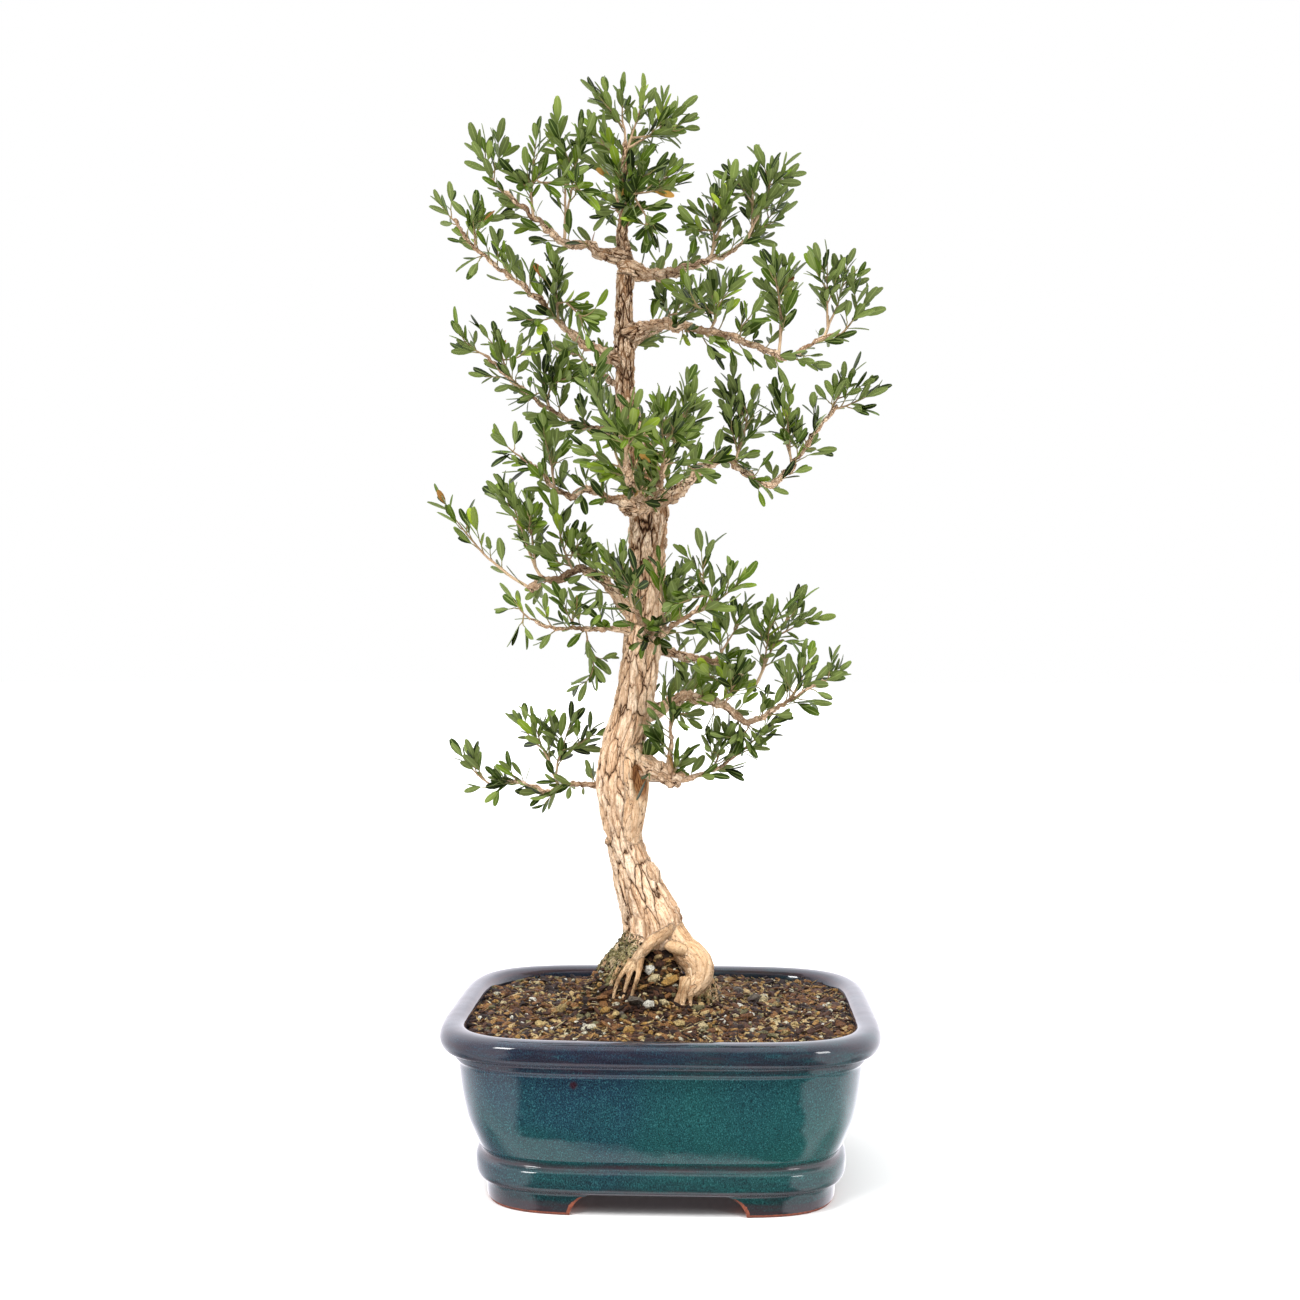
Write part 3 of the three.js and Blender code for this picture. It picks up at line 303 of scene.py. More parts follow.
# Limbs. A route goes from inside the trunk to the limb's end, with the radii at its two ends. Each spray
# has the share of the route where it leaves and the tips its leaves reach. More tips fill in between.
limbs = {
    "top_left": {
        "radii": (5, 1.6),
        "route": [[-29, 0, 651], [-42, -2, 653], [-55, -8, 658], [-69, -14, 658], [-83, -20, 668],
            [-99, -25, 682], [-114, -30, 693]],
        "sprays": [[1, [-134, -32, 734], [-105, -18, 728]], [0.7, [-85, -42, 736], [-92, -54, 710]],
            [0.42, [-73, -24, 755], [-54, -34, 743]]],
        "more": [[-114, -24, 740], [-51, -52, 722], [-67, -66, 680], [-48, -50, 696], [-39, -72, 670],
            [-94, -62, 682], [-115, -6, 687], [-72, -60, 701], [-109, -50, 701]]},
    "top_right": {
        "radii": (6, 1.6),
        "route": [[-26, 0, 643], [-13, 6, 640], [2, 12, 642], [18, 18, 648], [33, 22, 654], [47, 26, 660],
            [60, 28, 670]],
        "sprays": [[1, [94, 30, 736], [66, 20, 728]], [0.88, [96, 44, 711], [82, 36, 686]],
            [0.7, [54, 12, 721], [36, 8, 715], [24, 20, 703]]],
        "more": [[104, 38, 726], [82, 22, 732], [91, 26, 694], [72, 18, 667], [43, 26, 727], [70, 6, 700],
            [37, 4, 681], [27, 36, 677], [9, -14, 667], [53, 40, 685], [58, 30, 697]]},
    "upper_right": {
        "radii": (5.5, 1.5),
        "route": [[-26, 0, 596], [-6, -8, 600], [9, -14, 599], [31, -20, 593], [52, -24, 587],
            [69, -26, 580], [88, -26, 573], [101, -24, 581], [114, -22, 588], [129, -20, 590]],
        "sprays": [[1, [152, -16, 626], [142, -30, 609]], [0.93, [134, -20, 652], [115, -30, 656]],
            [0.7, [91, -14, 652], [80, -34, 646]], [0.38, [46, -38, 630], [33, -10, 637], [5, -22, 622]]],
        "more": [[146, -26, 639], [144, -8, 633], [99, -38, 642], [122, -18, 648], [108, -40, 630],
            [75, -48, 645], [91, -4, 636], [59, -20, 641], [23, -42, 618], [13, -30, 639], [58, -50, 608],
            [16, -36, 577], [62, -38, 590], [98, -34, 575], [73, -52, 614]]},
    "upper_left": {
        "radii": (4.2, 1.3),
        "route": [[-27, 0, 575], [-43, -6, 582], [-57, -10, 588], [-72, -14, 602], [-89, -20, 619],
            [-113, -26, 637], [-132, -30, 653], [-144, -32, 670]],
        "sprays": [[1, [-162, -34, 690], [-147, -26, 697]], [0.85, [-128, -42, 690], [-112, -46, 683]],
            [0.36, [-72, -30, 650], [-68, -10, 633], [-49, -36, 613]]],
        "more": [[-156, -16, 673], [-151, -40, 654], [-125, -18, 683], [-102, -14, 682], [-133, -38, 628],
            [-124, -12, 628], [-140, -22, 643], [-108, -42, 602], [-90, -40, 642], [-34, -26, 618],
            [-103, -26, 596], [-39, -38, 599], [-84, -46, 587], [-42, -40, 587]]},
    "middle_left": {
        "radii": (3.4, 1.2),
        "route": [[-25, 4, 527], [-45, 12, 530], [-66, 18, 536], [-87, 24, 549], [-112, 28, 569],
            [-132, 30, 588]],
        "sprays": [[1, [-159, 34, 610], [-144, 42, 609]], [0.8, [-129, 42, 617], [-117, 22, 597]],
            [0.5, [-95, 16, 590], [-73, 8, 587], [-115, 22, 550]]],
        "more": [[-155, 24, 590], [-115, 48, 594], [-123, 42, 566], [-86, 38, 597], [-108, 32, 545],
            [-60, -10, 574], [-49, -20, 565], [-65, 0, 531], [-82, 0, 564], [-58, -14, 550]]},
    "collar_left": {
        "radii": (4.2, 1.4),
        "route": [[-15, -12, 476], [-35, -16, 476], [-45, -16, 482], [-56, -18, 483], [-64, -20, 477],
            [-77, -24, 486], [-86, -26, 496], [-98, -28, 505]],
        "sprays": [[1, [-122, -32, 525], [-101, -22, 524]], [0.7, [-83, -40, 536], [-74, -18, 526]]],
        "more": [[-115, -42, 505], [-65, -38, 512], [-108, -18, 491], [-89, -50, 493], [-58, -50, 503]]},
    "front_left": {
        "radii": (5, 1.8),
        "route": [[-11, -10, 474], [-14, -38, 473], [-17, -58, 477], [-20, -76, 484], [-21, -88, 493]],
        "sprays": [[1, [-28, -104, 529], [-10, -112, 537]], [0.77, [-46, -82, 552], [-60, -80, 510]]],
        "more": [[-44, -100, 512], [-55, -64, 564], [-34, -120, 515], [-42, -98, 487], [-56, -62, 497],
            [-39, -62, 544], [-19, -124, 509], [-1, -122, 512]]},
    "front_right": {
        "radii": (4.6, 1.6),
        "route": [[-8, -10, 473], [-1, -44, 480], [2, -62, 490], [4, -72, 499]],
        "sprays": [[1, [-1, -88, 542], [19, -94, 533], [22, -88, 520]],
            [0.8, [22, -54, 564], [3, -60, 548]]],
        "more": [[29, -70, 550], [16, -102, 510], [12, -74, 505], [-1, -106, 493], [-17, -94, 505],
            [34, -44, 546], [33, -48, 503], [40, -42, 484], [-13, -70, 530]]},
    "middle_right": {
        "radii": (6.5, 1.7),
        "route": [[-15, -8, 476], [-23, -18, 470], [-4, -23, 472], [13, -19, 482], [27, -12, 498],
            [46, -4, 506], [59, 4, 497], [74, 8, 489], [88, 10, 496], [99, 12, 511], [110, 12, 527],
            [126, 10, 546]],
        "sprays": [[1, [164, 8, 560], [152, -4, 538]], [0.95, [143, 14, 582], [122, 0, 564]],
            [0.76, [90, -10, 562], [77, 6, 566]], [0.5, [56, 24, 554], [68, 14, 565], [46, -8, 553]]],
        "more": [[156, 18, 568], [126, 14, 513], [110, 22, 560], [82, -18, 524], [103, -12, 518],
            [62, -16, 526], [39, 18, 566], [43, -22, 517], [73, -8, 508], [53, 30, 535]]},
    "lower_left": {
        "radii": (5, 3),
        "route": [[-18, 0, 394], [-28, -6, 403], [-40, -10, 418], [-50, -12, 425], [-60, -12, 427],
            [-72, -12, 420], [-84, -10, 420], [-94, -6, 414]],
        "sprays": [[1, [-170, 6, 490], [-124, 12, 431]], [0.9, [-113, 10, 494], [-95, -12, 488]],
            [0.62, [-77, -26, 480], [-48, -28, 460], [-42, -36, 441]]],
        "more": [[-110, -12, 425], [-125, 16, 493], [-86, -40, 478], [-65, -10, 472], [-49, -42, 435],
            [-80, -38, 432], [-61, -12, 444], [-91, -32, 443], [-99, -24, 461], [-83, -6, 459]]},
    "low_front_left": {
        "radii": (3, 1.1),
        "route": [[-18, -4, 384], [-35, -18, 385], [-49, -25, 385], [-67, -30, 385], [-77, -33, 386],
            [-90, -37, 391]],
        "sprays": [[1, [-111, -42, 416], [-103, -40, 373]], [0.6, [-71, -46, 415], [-52, -42, 410]]],
        "more": [[-120, -30, 397], [-101, -22, 407], [-90, -42, 373], [-62, -38, 376], [-50, -22, 366],
            [-39, -46, 403], [-48, -12, 357], [-44, -8, 340]]},
    "lower_front": {
        "radii": (4.5, 1.5),
        "route": [[-12, -8, 378], [-9, -34, 382], [-13, -52, 389], [-18, -66, 399]],
        "sprays": [[1, [-30, -76, 440], [-11, -90, 432], [-41, -64, 443]]],
        "more": [[-40, -82, 425], [-23, -98, 409], [-10, -106, 407], [-33, -80, 393], [-23, -60, 431]]},
    "lower_front_right": {
        "radii": (4.4, 1.4),
        "route": [[-10, -8, 380], [3, -44, 383], [11, -54, 388], [21, -58, 394], [31, -60, 401]],
        "sprays": [[0.55, [-1, -70, 443], [12, -58, 429]], [0.9, [68, -62, 424], [27, -56, 451],
            [39, -76, 410]]],
        "more": [[10, -48, 444], [51, -60, 435], [51, -70, 430], [21, -82, 418], [8, -94, 404],
            [29, -86, 383], [42, -68, 377], [-1, -100, 396]]},
    "lower_right": {
        "radii": (5, 1.6),
        "route": [[-14, 2, 376], [1, 8, 370], [13, 10, 366], [25, 14, 364], [39, 18, 361], [49, 20, 355],
            [67, 22, 344]],
        "sprays": [[1, [101, 26, 418], [80, 18, 411]], [0.6, [67, 24, 416], [38, 28, 399]]],
        "more": [[116, 32, 402], [109, 36, 374], [66, 36, 406], [70, 10, 389], [84, 30, 333],
            [52, 6, 406], [27, 32, 341], [59, 0, 370], [73, 38, 366]]},
    "long_right": {
        "radii": (6, 1.3),
        "route": [[-19, 2, 323], [-5, 2, 326], [7, 0, 333], [21, -4, 337], [34, -8, 334], [45, -10, 330],
            [61, -12, 319], [80, -12, 329], [93, -12, 336], [114, -10, 349]],
        "sprays": [[1, [138, -8, 362], [122, -16, 376]], [0.8, [111, -4, 376], [80, -24, 363],
            [100, -22, 369]], [0.45, [58, -32, 369], [41, -24, 367]]],
        "more": [[132, 4, 366], [120, -14, 336], [96, -2, 366], [107, -16, 328], [91, -6, 325],
            [48, -40, 358], [27, -36, 362], [17, -26, 363], [52, -18, 301], [31, -24, 306], [71, -8, 301],
            [65, -36, 342]]},
    "lowest_right": {
        "radii": (7, 4.4),
        "route": [[-22, 0, 290], [-8, -10, 286], [2, -15, 281], [14, -18, 279]],
        "sprays": [], "more": []},
    "lowest_right_twig": {
        "radii": (2.4, 1.1),
        "route": [[7, -16, 281], [16, -17, 279], [26, -14, 282], [36, -10, 285], [47, -6, 291],
            [64, -4, 305]],
        "sprays": [[1, [91, -2, 327], [82, 8, 331]], [0.5, [52, -12, 324], [38, 2, 320]]],
        "more": [[81, -12, 315], [57, -18, 285], [43, -22, 309], [27, -30, 304]]},
    "lowest_right_riser": {
        "radii": (2.6, 1.3),
        "route": [[5, -16, 281], [6, -20, 294], [7, -23, 309], [7, -24, 323]],
        "sprays": [[1, [5, -26, 344], [22, -36, 332]]],
        "more": [[-3, -28, 334], [18, -32, 315], [-4, -26, 304]]},
    "lowest_left": {
        "radii": (3.2, 1.2),
        "route": [[-26, 2, 273], [-45, 4, 273], [-58, 8, 273], [-69, 12, 273], [-81, 14, 267],
            [-92, 16, 270], [-108, 17, 274], [-124, 18, 271]],
        "sprays": [[1, [-158, 20, 302], [-144, 16, 307]], [0.5, [-99, 12, 332], [-64, 22, 332],
            [-84, 20, 317]]],
        "more": [[-126, 18, 259], [-148, 22, 268], [-126, 28, 284], [-117, 4, 293], [-115, 28, 327],
            [-82, 30, 324], [-79, -4, 287], [-43, 2, 321], [-46, 20, 301], [-72, 2, 304]]},
    "back_low": {
        "radii": (4.8, 1.5),
        "route": [[-12, 4, 376], [-10, 26, 380], [-7, 52, 389], [-4, 86, 399]],
        "sprays": [[1, [-10, 120, 437], [30, 100, 431], [-36, 100, 426]]],
        "more": [[38, 88, 415], [11, 90, 438], [-41, 72, 407], [-20, 92, 440], [21, 62, 400],
            [6, 124, 410]]},
    "back_middle": {
        "radii": (5, 1.5),
        "route": [[-13, 4, 478], [-14, 28, 486], [-15, 54, 495], [-19, 90, 510]],
        "sprays": [[1, [-21, 124, 569], [-51, 104, 557], [20, 106, 557]]],
        "more": [[-5, 96, 571], [-38, 82, 566], [31, 80, 538], [-60, 70, 537], [-12, 124, 539],
            [3, 112, 524]]},
    "back_upper_right": {
        "radii": (4, 1.4),
        "route": [[-27, 2, 584], [-21, 24, 594], [-14, 46, 604], [-1, 74, 617]],
        "sprays": [[1, [20, 102, 659], [-4, 86, 663]]],
        "more": [[44, 92, 651], [53, 62, 633], [-9, 50, 644], [19, 104, 637], [8, 60, 635]]},
    "back_upper_left": {
        "radii": (3.6, 1.4),
        "route": [[-27, 2, 556], [-37, 22, 566], [-48, 42, 576], [-60, 66, 588]],
        "sprays": [[1, [-81, 90, 619], [-56, 72, 619]]],
        "more": [[-95, 94, 607], [-72, 62, 566], [-51, 90, 607], [-78, 60, 586]]},
    "back_top": {
        "radii": (4, 1.4),
        "route": [[-27, 0, 655], [-30, 18, 671], [-32, 36, 690], [-36, 54, 709]],
        "sprays": [[1, [-43, 76, 766], [-10, 76, 760]]],
        "more": [[-64, 72, 748], [-4, 62, 732], [-18, 72, 714], [-57, 66, 719], [-32, 90, 751]]},
    "back_lowest": {
        "radii": (4, 1.4),
        "route": [[-19, 4, 318], [-11, 28, 323], [-3, 52, 328], [7, 78, 333]],
        "sprays": [[1, [36, 98, 366], [19, 100, 336]]],
        "more": [[59, 90, 356], [28, 72, 309], [26, 112, 354], [42, 60, 332]]},
    "apex": {
        "radii": (2, 1.2),
        "route": [[-26.6, 0, 650], [-29, 0, 667], [-26, -3, 687], [-27, -4, 712], [-26, -5, 733]],
        "sprays": [[1, [-29, -4, 783], [-46, -10, 778]], [0.88, [-10, 8, 782], [24, 10, 768],
            [29, -6, 748]], [0.8, [-57, 0, 751], [-40, -26, 733]], [0.55, [25, 6, 723], [20, -16, 702]],
            [0.45, [-6, -44, 718], [-32, -54, 708], [-13, -64, 681]]],
        "more": [[-20, -22, 758], [0, 4, 762], [18, 20, 745], [8, -24, 741], [-50, 14, 771], [13, 8, 694],
            [6, -50, 702], [-40, -60, 683], [-2, -62, 664], [5, -46, 677], [-23, -68, 660],
            [-9, -56, 647], [4, -40, 648], [-48, -44, 660]]},
}


# Corky bark splits into plates. Their size grows with the girth of the wood, in millimetres.
barkSettings = {
    "voxel": 1.08, "smoothing": 3, "smoothBy": 0.5, "ringSides": 40, "ringStep": 2.0, "block": 4000,
    "stubReach": 16.0, "stubStep": 1.5, "stubSwell": [1.7, 1.45, 0.7], "stubRough": 0.8,
    "fullGirth": 14.0, "limbGirth": 12.0, "leastGirth": 0.15, "woodPhase": 13.7, "limbPhase": 9.3,
    "plateBase": 2.0, "platePerRadius": 0.3, "plateStretch": 3.3,
    "crackDeep": 1.7, "crackShare": 0.2, "fineDeep": 0.55, "swellDeep": 0.9, "grainDeep": 0.9,
    "crumbDeep": 0.7, "limbTaper": (0.8, 1.5), "stumpTaper": (1.0, 0.45), "limbSeed": 77,
    "limbSides": 18, "limbStep": 1.1, "routeStep": 2.0, "limbWander": 0.65, "wanderSpan": 9,
    "limbStretch": 0.7, "limbKnots": 3.1, "limbGrain": 5.0,
    "highFrom": (400, 470), "highRough": 2.1,
}
woundSettings = {"x": -15.2, "z": 275.0, "lean": -0.17, "half": 5.4, "tall": 15.0, "front": -4.0,
    "deep": 8.0, "bowl": 0.6, "level": 0.6, "slant": 0.45, "least": 0.2, "rim": 1.5, "rimAt": 1.2,
    "rimWide": 0.25}
mossSettings = {"x": -29.0, "z": 150.0, "wide": 28.0, "high": 22.0, "most": 1.4, "lowTop": 142.0,
    "lowFade": 9.0, "lowMost": 0.8}


def plateWide(radius):
    return barkSettings["plateBase"] + barkSettings["platePerRadius"] * radius


# Cracks between plates, from 0 in a crack to 1 on a plate, and the warped vector that both trees share.
# A unit of bark space is one plate, which is about 7 mm wide on the trunk and 3 mm on a limb.
def barkCracks(add, space):
    warp = add("TexNoise", {"Vector": space, "Scale": 1.7, "Detail": 2.0})
    centred = add("VectorMath.SUBTRACT", [warp.outputs["Color"], (0.5, 0.5, 0.5)])
    pushed = add("VectorMath.MULTIPLY_ADD", [centred, (0.8, 0.8, 0.8), space])
    edge = add("TexVoronoi", {"Vector": pushed, "Scale": 1.0}, feature="DISTANCE_TO_EDGE")
    fine = add("TexVoronoi", {"Vector": pushed, "Scale": 2.3}, feature="DISTANCE_TO_EDGE")
    return pushed, edge, fine


# Pushes the skin in at the cracks and out between them, as far as the wood's girth lets it
def barkReliefTree():
    tree, add, given = newTree("barkRelief", Material=["Material"], Float=[
        "Crack depth", "Crack share", "Fine depth", "Swell", "Grain", "Crumb"])
    space = add("GeometryNodeInputNamedAttribute", {"Name": "barkSpace"}, data_type="FLOAT_VECTOR")
    girth, rough = [add("GeometryNodeInputNamedAttribute", {"Name": name}) for name in ("girth", "rough")]
    pushed, edge, fine = barkCracks(add, space)
    plate = add("MapRange", [edge, 0.0, given["Crack share"], -1.0, 0.0], interpolation_type="SMOOTHSTEP")
    where = add("TexNoise", {"Vector": space, "Scale": 0.55, "Detail": 1.0})
    deep = add("MapRange", [where, 0.35, 0.62, 0.3])
    crack = add("Math.MULTIPLY", [plate, deep])
    height = add("Math.MULTIPLY", [crack, given["Crack depth"]])
    plates = add("MapRange", [fine, 0.0, 0.22, -1.0, 0.0], interpolation_type="SMOOTHSTEP")
    height = add("Math.MULTIPLY_ADD", [plates, given["Fine depth"], height])
    tone = add("TexVoronoi", {"Vector": pushed, "Scale": 1.0})
    toneValue = add("SeparateXYZ", {"Vector": tone.outputs["Color"]})
    height = add("Math.MULTIPLY_ADD", [toneValue, given["Swell"], height])
    height = add("Math.MULTIPLY", [height, rough])
    # Grain 2.5 mm wide and 16 mm long, and crumbs of 3 mm, the finest that this mesh can show
    flat = add("VectorMath.MULTIPLY", [space, (2.6, 2.6, 1.3)])
    grain = add("TexNoise", {"Vector": flat, "Scale": 1.0, "Detail": 4.0, "Roughness": 0.6})
    here = add("GeometryNodeInputPosition")
    crumb = add("TexNoise", {"Vector": here, "Scale": 330.0, "Detail": 3.0, "Roughness": 0.65})
    for texture, size in ((grain, "Grain"), (crumb, "Crumb")):
        centred = add("Math.SUBTRACT", [texture, 0.5])
        height = add("Math.MULTIPLY_ADD", [centred, given[size], height])
    scaled = add("Math.MULTIPLY", [height, girth])
    normal = add("GeometryNodeInputNormal")
    offset = add("VectorMath.SCALE", {0: normal, "Scale": scaled})
    moved = add("GeometryNodeSetPosition", {"Geometry": given["Geometry"], "Offset": offset})
    smooth = add("GeometryNodeSetShadeSmooth", {"Geometry": moved})
    painted = add("GeometryNodeSetMaterial", {"Geometry": smooth, "Material": given["Material"]})
    add("NodeGroupOutput", {"Geometry": painted})
    return tree


# Corky bark: pale tan cork plates, matt and dry, with dark brown cracks and greyer thin limbs
def corkBark():
    material, add, shader = newMaterial("corky boxwood bark")
    space = add("Attribute", attribute_name="barkSpace").outputs["Vector"]
    girth, rough, mossy, hollow = [add("Attribute", attribute_name=name).outputs["Fac"]
        for name in ("girth", "rough", "mossy", "hollow")]
    place = add("TexCoord").outputs["Object"]
    pushed, edge, fine = barkCracks(add, space)

    # Each plate has its own tone, with fibres 1 mm wide and 9 mm long in it
    tone = add("TexVoronoi", {"Vector": pushed, "Scale": 1.0})
    streak = add("VectorMath.MULTIPLY", [space, (4.0, 4.0, 1.5)])
    fibre = add("TexNoise", {"Vector": streak, "Scale": 1.6, "Detail": 6.0, "Roughness": 0.65})
    toneValue = add("SeparateXYZ", {"Vector": tone.outputs["Color"]})
    blend = add("Math.MULTIPLY_ADD", [toneValue, 0.22, fibre])
    cork = add("ValToRGB", {"Fac": blend}, stops=[(0.34, "#9A7051"), (0.9, "#FBE9D4"), (0.46, "#D0A884"),
        (0.57, "#EAC7A5"), (0.72, "#F6DBBE")])
    # Thin wood is weathered grey in patches of 13 mm
    thin = add("MapRange", [girth, 0.2, 0.7, 0.8, 0.0])
    weather = add("TexNoise", {"Vector": place, "Scale": 75.0, "Detail": 4.0, "Roughness": 0.6})
    greyed = add("ValToRGB", {"Fac": weather}, stops=[(0.38, "#93877A"), (0.56, "#FFFFFF")])
    # Roots are smoother than the trunk, and a little redder and darker
    rooty = add("MapRange", [rough, 0.3, 0.65, 1.0, 0.0])
    # Soft grooves first, then pits of 1.6 mm, then the dark cracks, which open wider in some places
    groove = add("MapRange", [fine, 0.0, 0.14, 0.42, 0.0], interpolation_type="SMOOTHSTEP")
    broad = add("MapRange", [edge, 0.0, 0.17, 0.75, 0.0], interpolation_type="SMOOTHSTEP")
    soft = add("Math.MAXIMUM", [groove, broad])
    softer = add("Math.MULTIPLY", [soft, rough])
    pits = add("TexNoise", {"Vector": place, "Scale": 620.0, "Detail": 2.0})
    pitted = add("MapRange", [pits, 0.6, 0.72, 0.0, 0.7])
    where = add("TexNoise", {"Vector": space, "Scale": 0.55, "Detail": 1.0})
    wide = add("MapRange", [where, 0.42, 0.64, 0.004, 0.075])
    opened = add("Math.MULTIPLY", [wide, rough])
    crack = add("MapRange", [edge, 0.0, opened, 1.0, 0.0], interpolation_type="SMOOTHSTEP")
    # Bare brown wood inside the old wound, in streaks 0.7 mm wide and 8 mm long
    grained = add("VectorMath.MULTIPLY", [place, (1500.0, 1500.0, 120.0)])
    lines = add("TexNoise", {"Vector": grained, "Scale": 1.0, "Detail": 3.0})
    bare = add("ValToRGB", {"Fac": lines}, stops=[(0.35, "#5B3119"), (0.65, "#C08A5A")])
    within = add("MapRange", [hollow, 0.05, 0.35])
    # Moss and algae on the left of the root flare, in tufts of 5 mm whose tones change every 2 mm
    patch = add("TexNoise", {"Vector": place, "Scale": 210.0, "Detail": 5.0, "Roughness": 0.75})
    mossMask = add("Math.MULTIPLY_ADD", [mossy, 0.42, patch])
    moss = add("MapRange", [mossMask, 0.76, 0.93, 0.0, 0.92])
    mossTone = add("TexNoise", {"Vector": place, "Scale": 430.0, "Detail": 4.0, "Roughness": 0.75})
    mossColour = add("ValToRGB", {"Fac": mossTone}, stops=[(0.36, "#24230F"), (0.7, "#C9C2A0"),
        (0.48, "#55522A"), (0.58, "#8B8457")])
    layers = [("MULTIPLY", thin, greyed), ("MULTIPLY", rooty, linear("#ECE4D2")),
        ("MIX", softer, linear("#A17A58")), ("MIX", pitted, linear("#7F5436")),
        ("MIX", crack, linear("#3E2414")), ("MIX", within, bare), ("MIX", moss, mossColour)]
    wood = cork
    for blend, share, colour in layers:
        wood = add("Mix", {"Factor": share, "A": wood, "B": colour}, data_type="RGBA", blend_type=blend)
    grooved = add("Math.MULTIPLY_ADD", [softer, -0.9, fibre])
    height = add("Math.MULTIPLY_ADD", [crack, -0.9, grooved])
    crumbly = add("Math.MULTIPLY_ADD", [pits, 0.9, height])
    bump = add("Bump", {"Height": crumbly, "Strength": 0.9, "Distance": 0.0009})
    setInputs(shader, {"Base Color": wood, "Roughness": 0.85, "Specular IOR Level": 0.2, "Normal": bump})
    return material


barkMaterial = corkBark()
reliefTree = barkReliefTree()


# Local bark coordinates for each point: across the wood in plates, and along it in plates. Also the
# girth there, how rough its bark is and how much moss it can carry.
def layBark(points, woods):
    s = barkSettings
    rows = []  # x, y, z, radius, along, across, up, width of a plate, mark, rough, moss
    for k, (rough, moss, path) in enumerate(woods):
        along, across, up = pathFrame(path)
        wide = plateWide(path[:, 3])
        mark = distances(path, wide[1:] * s["plateStretch"])[:, None] + s["woodPhase"] * k
        traits = np.broadcast_to([rough, moss], (len(path), 2))
        rows.append(np.hstack([path, along, across, up, wide[:, None], mark, traits]))
    rows = np.vstack(rows)
    space, traits = np.zeros((len(points), 3)), np.zeros((len(points), 3))
    for start in range(0, len(points), s["block"]):
        block = slice(start, start + s["block"])
        offset = points[block, None] - rows[None, :, :3]
        near = (np.linalg.norm(offset, axis=2) - rows[None, :, 3]).argmin(axis=1)
        off, own = offset[np.arange(len(near)), near], rows[near]
        radius, wide, mark = own[:, 3], own[:, 13], own[:, 14]
        along, across, up = [np.einsum("ij,ij->i", off, own[:, k:k + 3]) for k in (4, 7, 10)]
        space[block] = np.column_stack([across / wide, up / wide,
            mark + along / (wide * s["plateStretch"])])
        traits[block, 0] = np.clip(radius / s["fullGirth"], s["leastGirth"], 1.0)
        traits[block, 1:] = own[:, 15:17]
    return space, traits.T


# The old wound on the right of the trunk: an almond hollow, deepest near its top, inside a swollen rim
def carveWound(points):
    w = woundSettings
    up = points[:, 2] - w["z"]
    across = (points[:, 0] - w["x"] - up * w["lean"]) / w["half"]
    spread = np.sqrt(across ** 2 + (up / w["tall"]) ** 2)
    front = points[:, 1] < w["front"]
    depth = np.clip(w["level"] + w["slant"] * up / w["tall"], w["least"], 1)
    hollow = front * np.clip(1 - spread ** 2, 0, 1) ** w["bowl"] * depth
    rim = front * np.exp(-((spread - w["rimAt"]) / w["rimWide"]) ** 2)
    points[:, 1] += w["deep"] * hollow - w["rim"] * rim
    return hollow


def readPoints(mesh):
    corners = np.zeros(len(mesh.vertices) * 3, np.float32)
    mesh.vertices.foreach_get("co", corners)
    return (corners.reshape(-1, 3) - potCentre) / mm


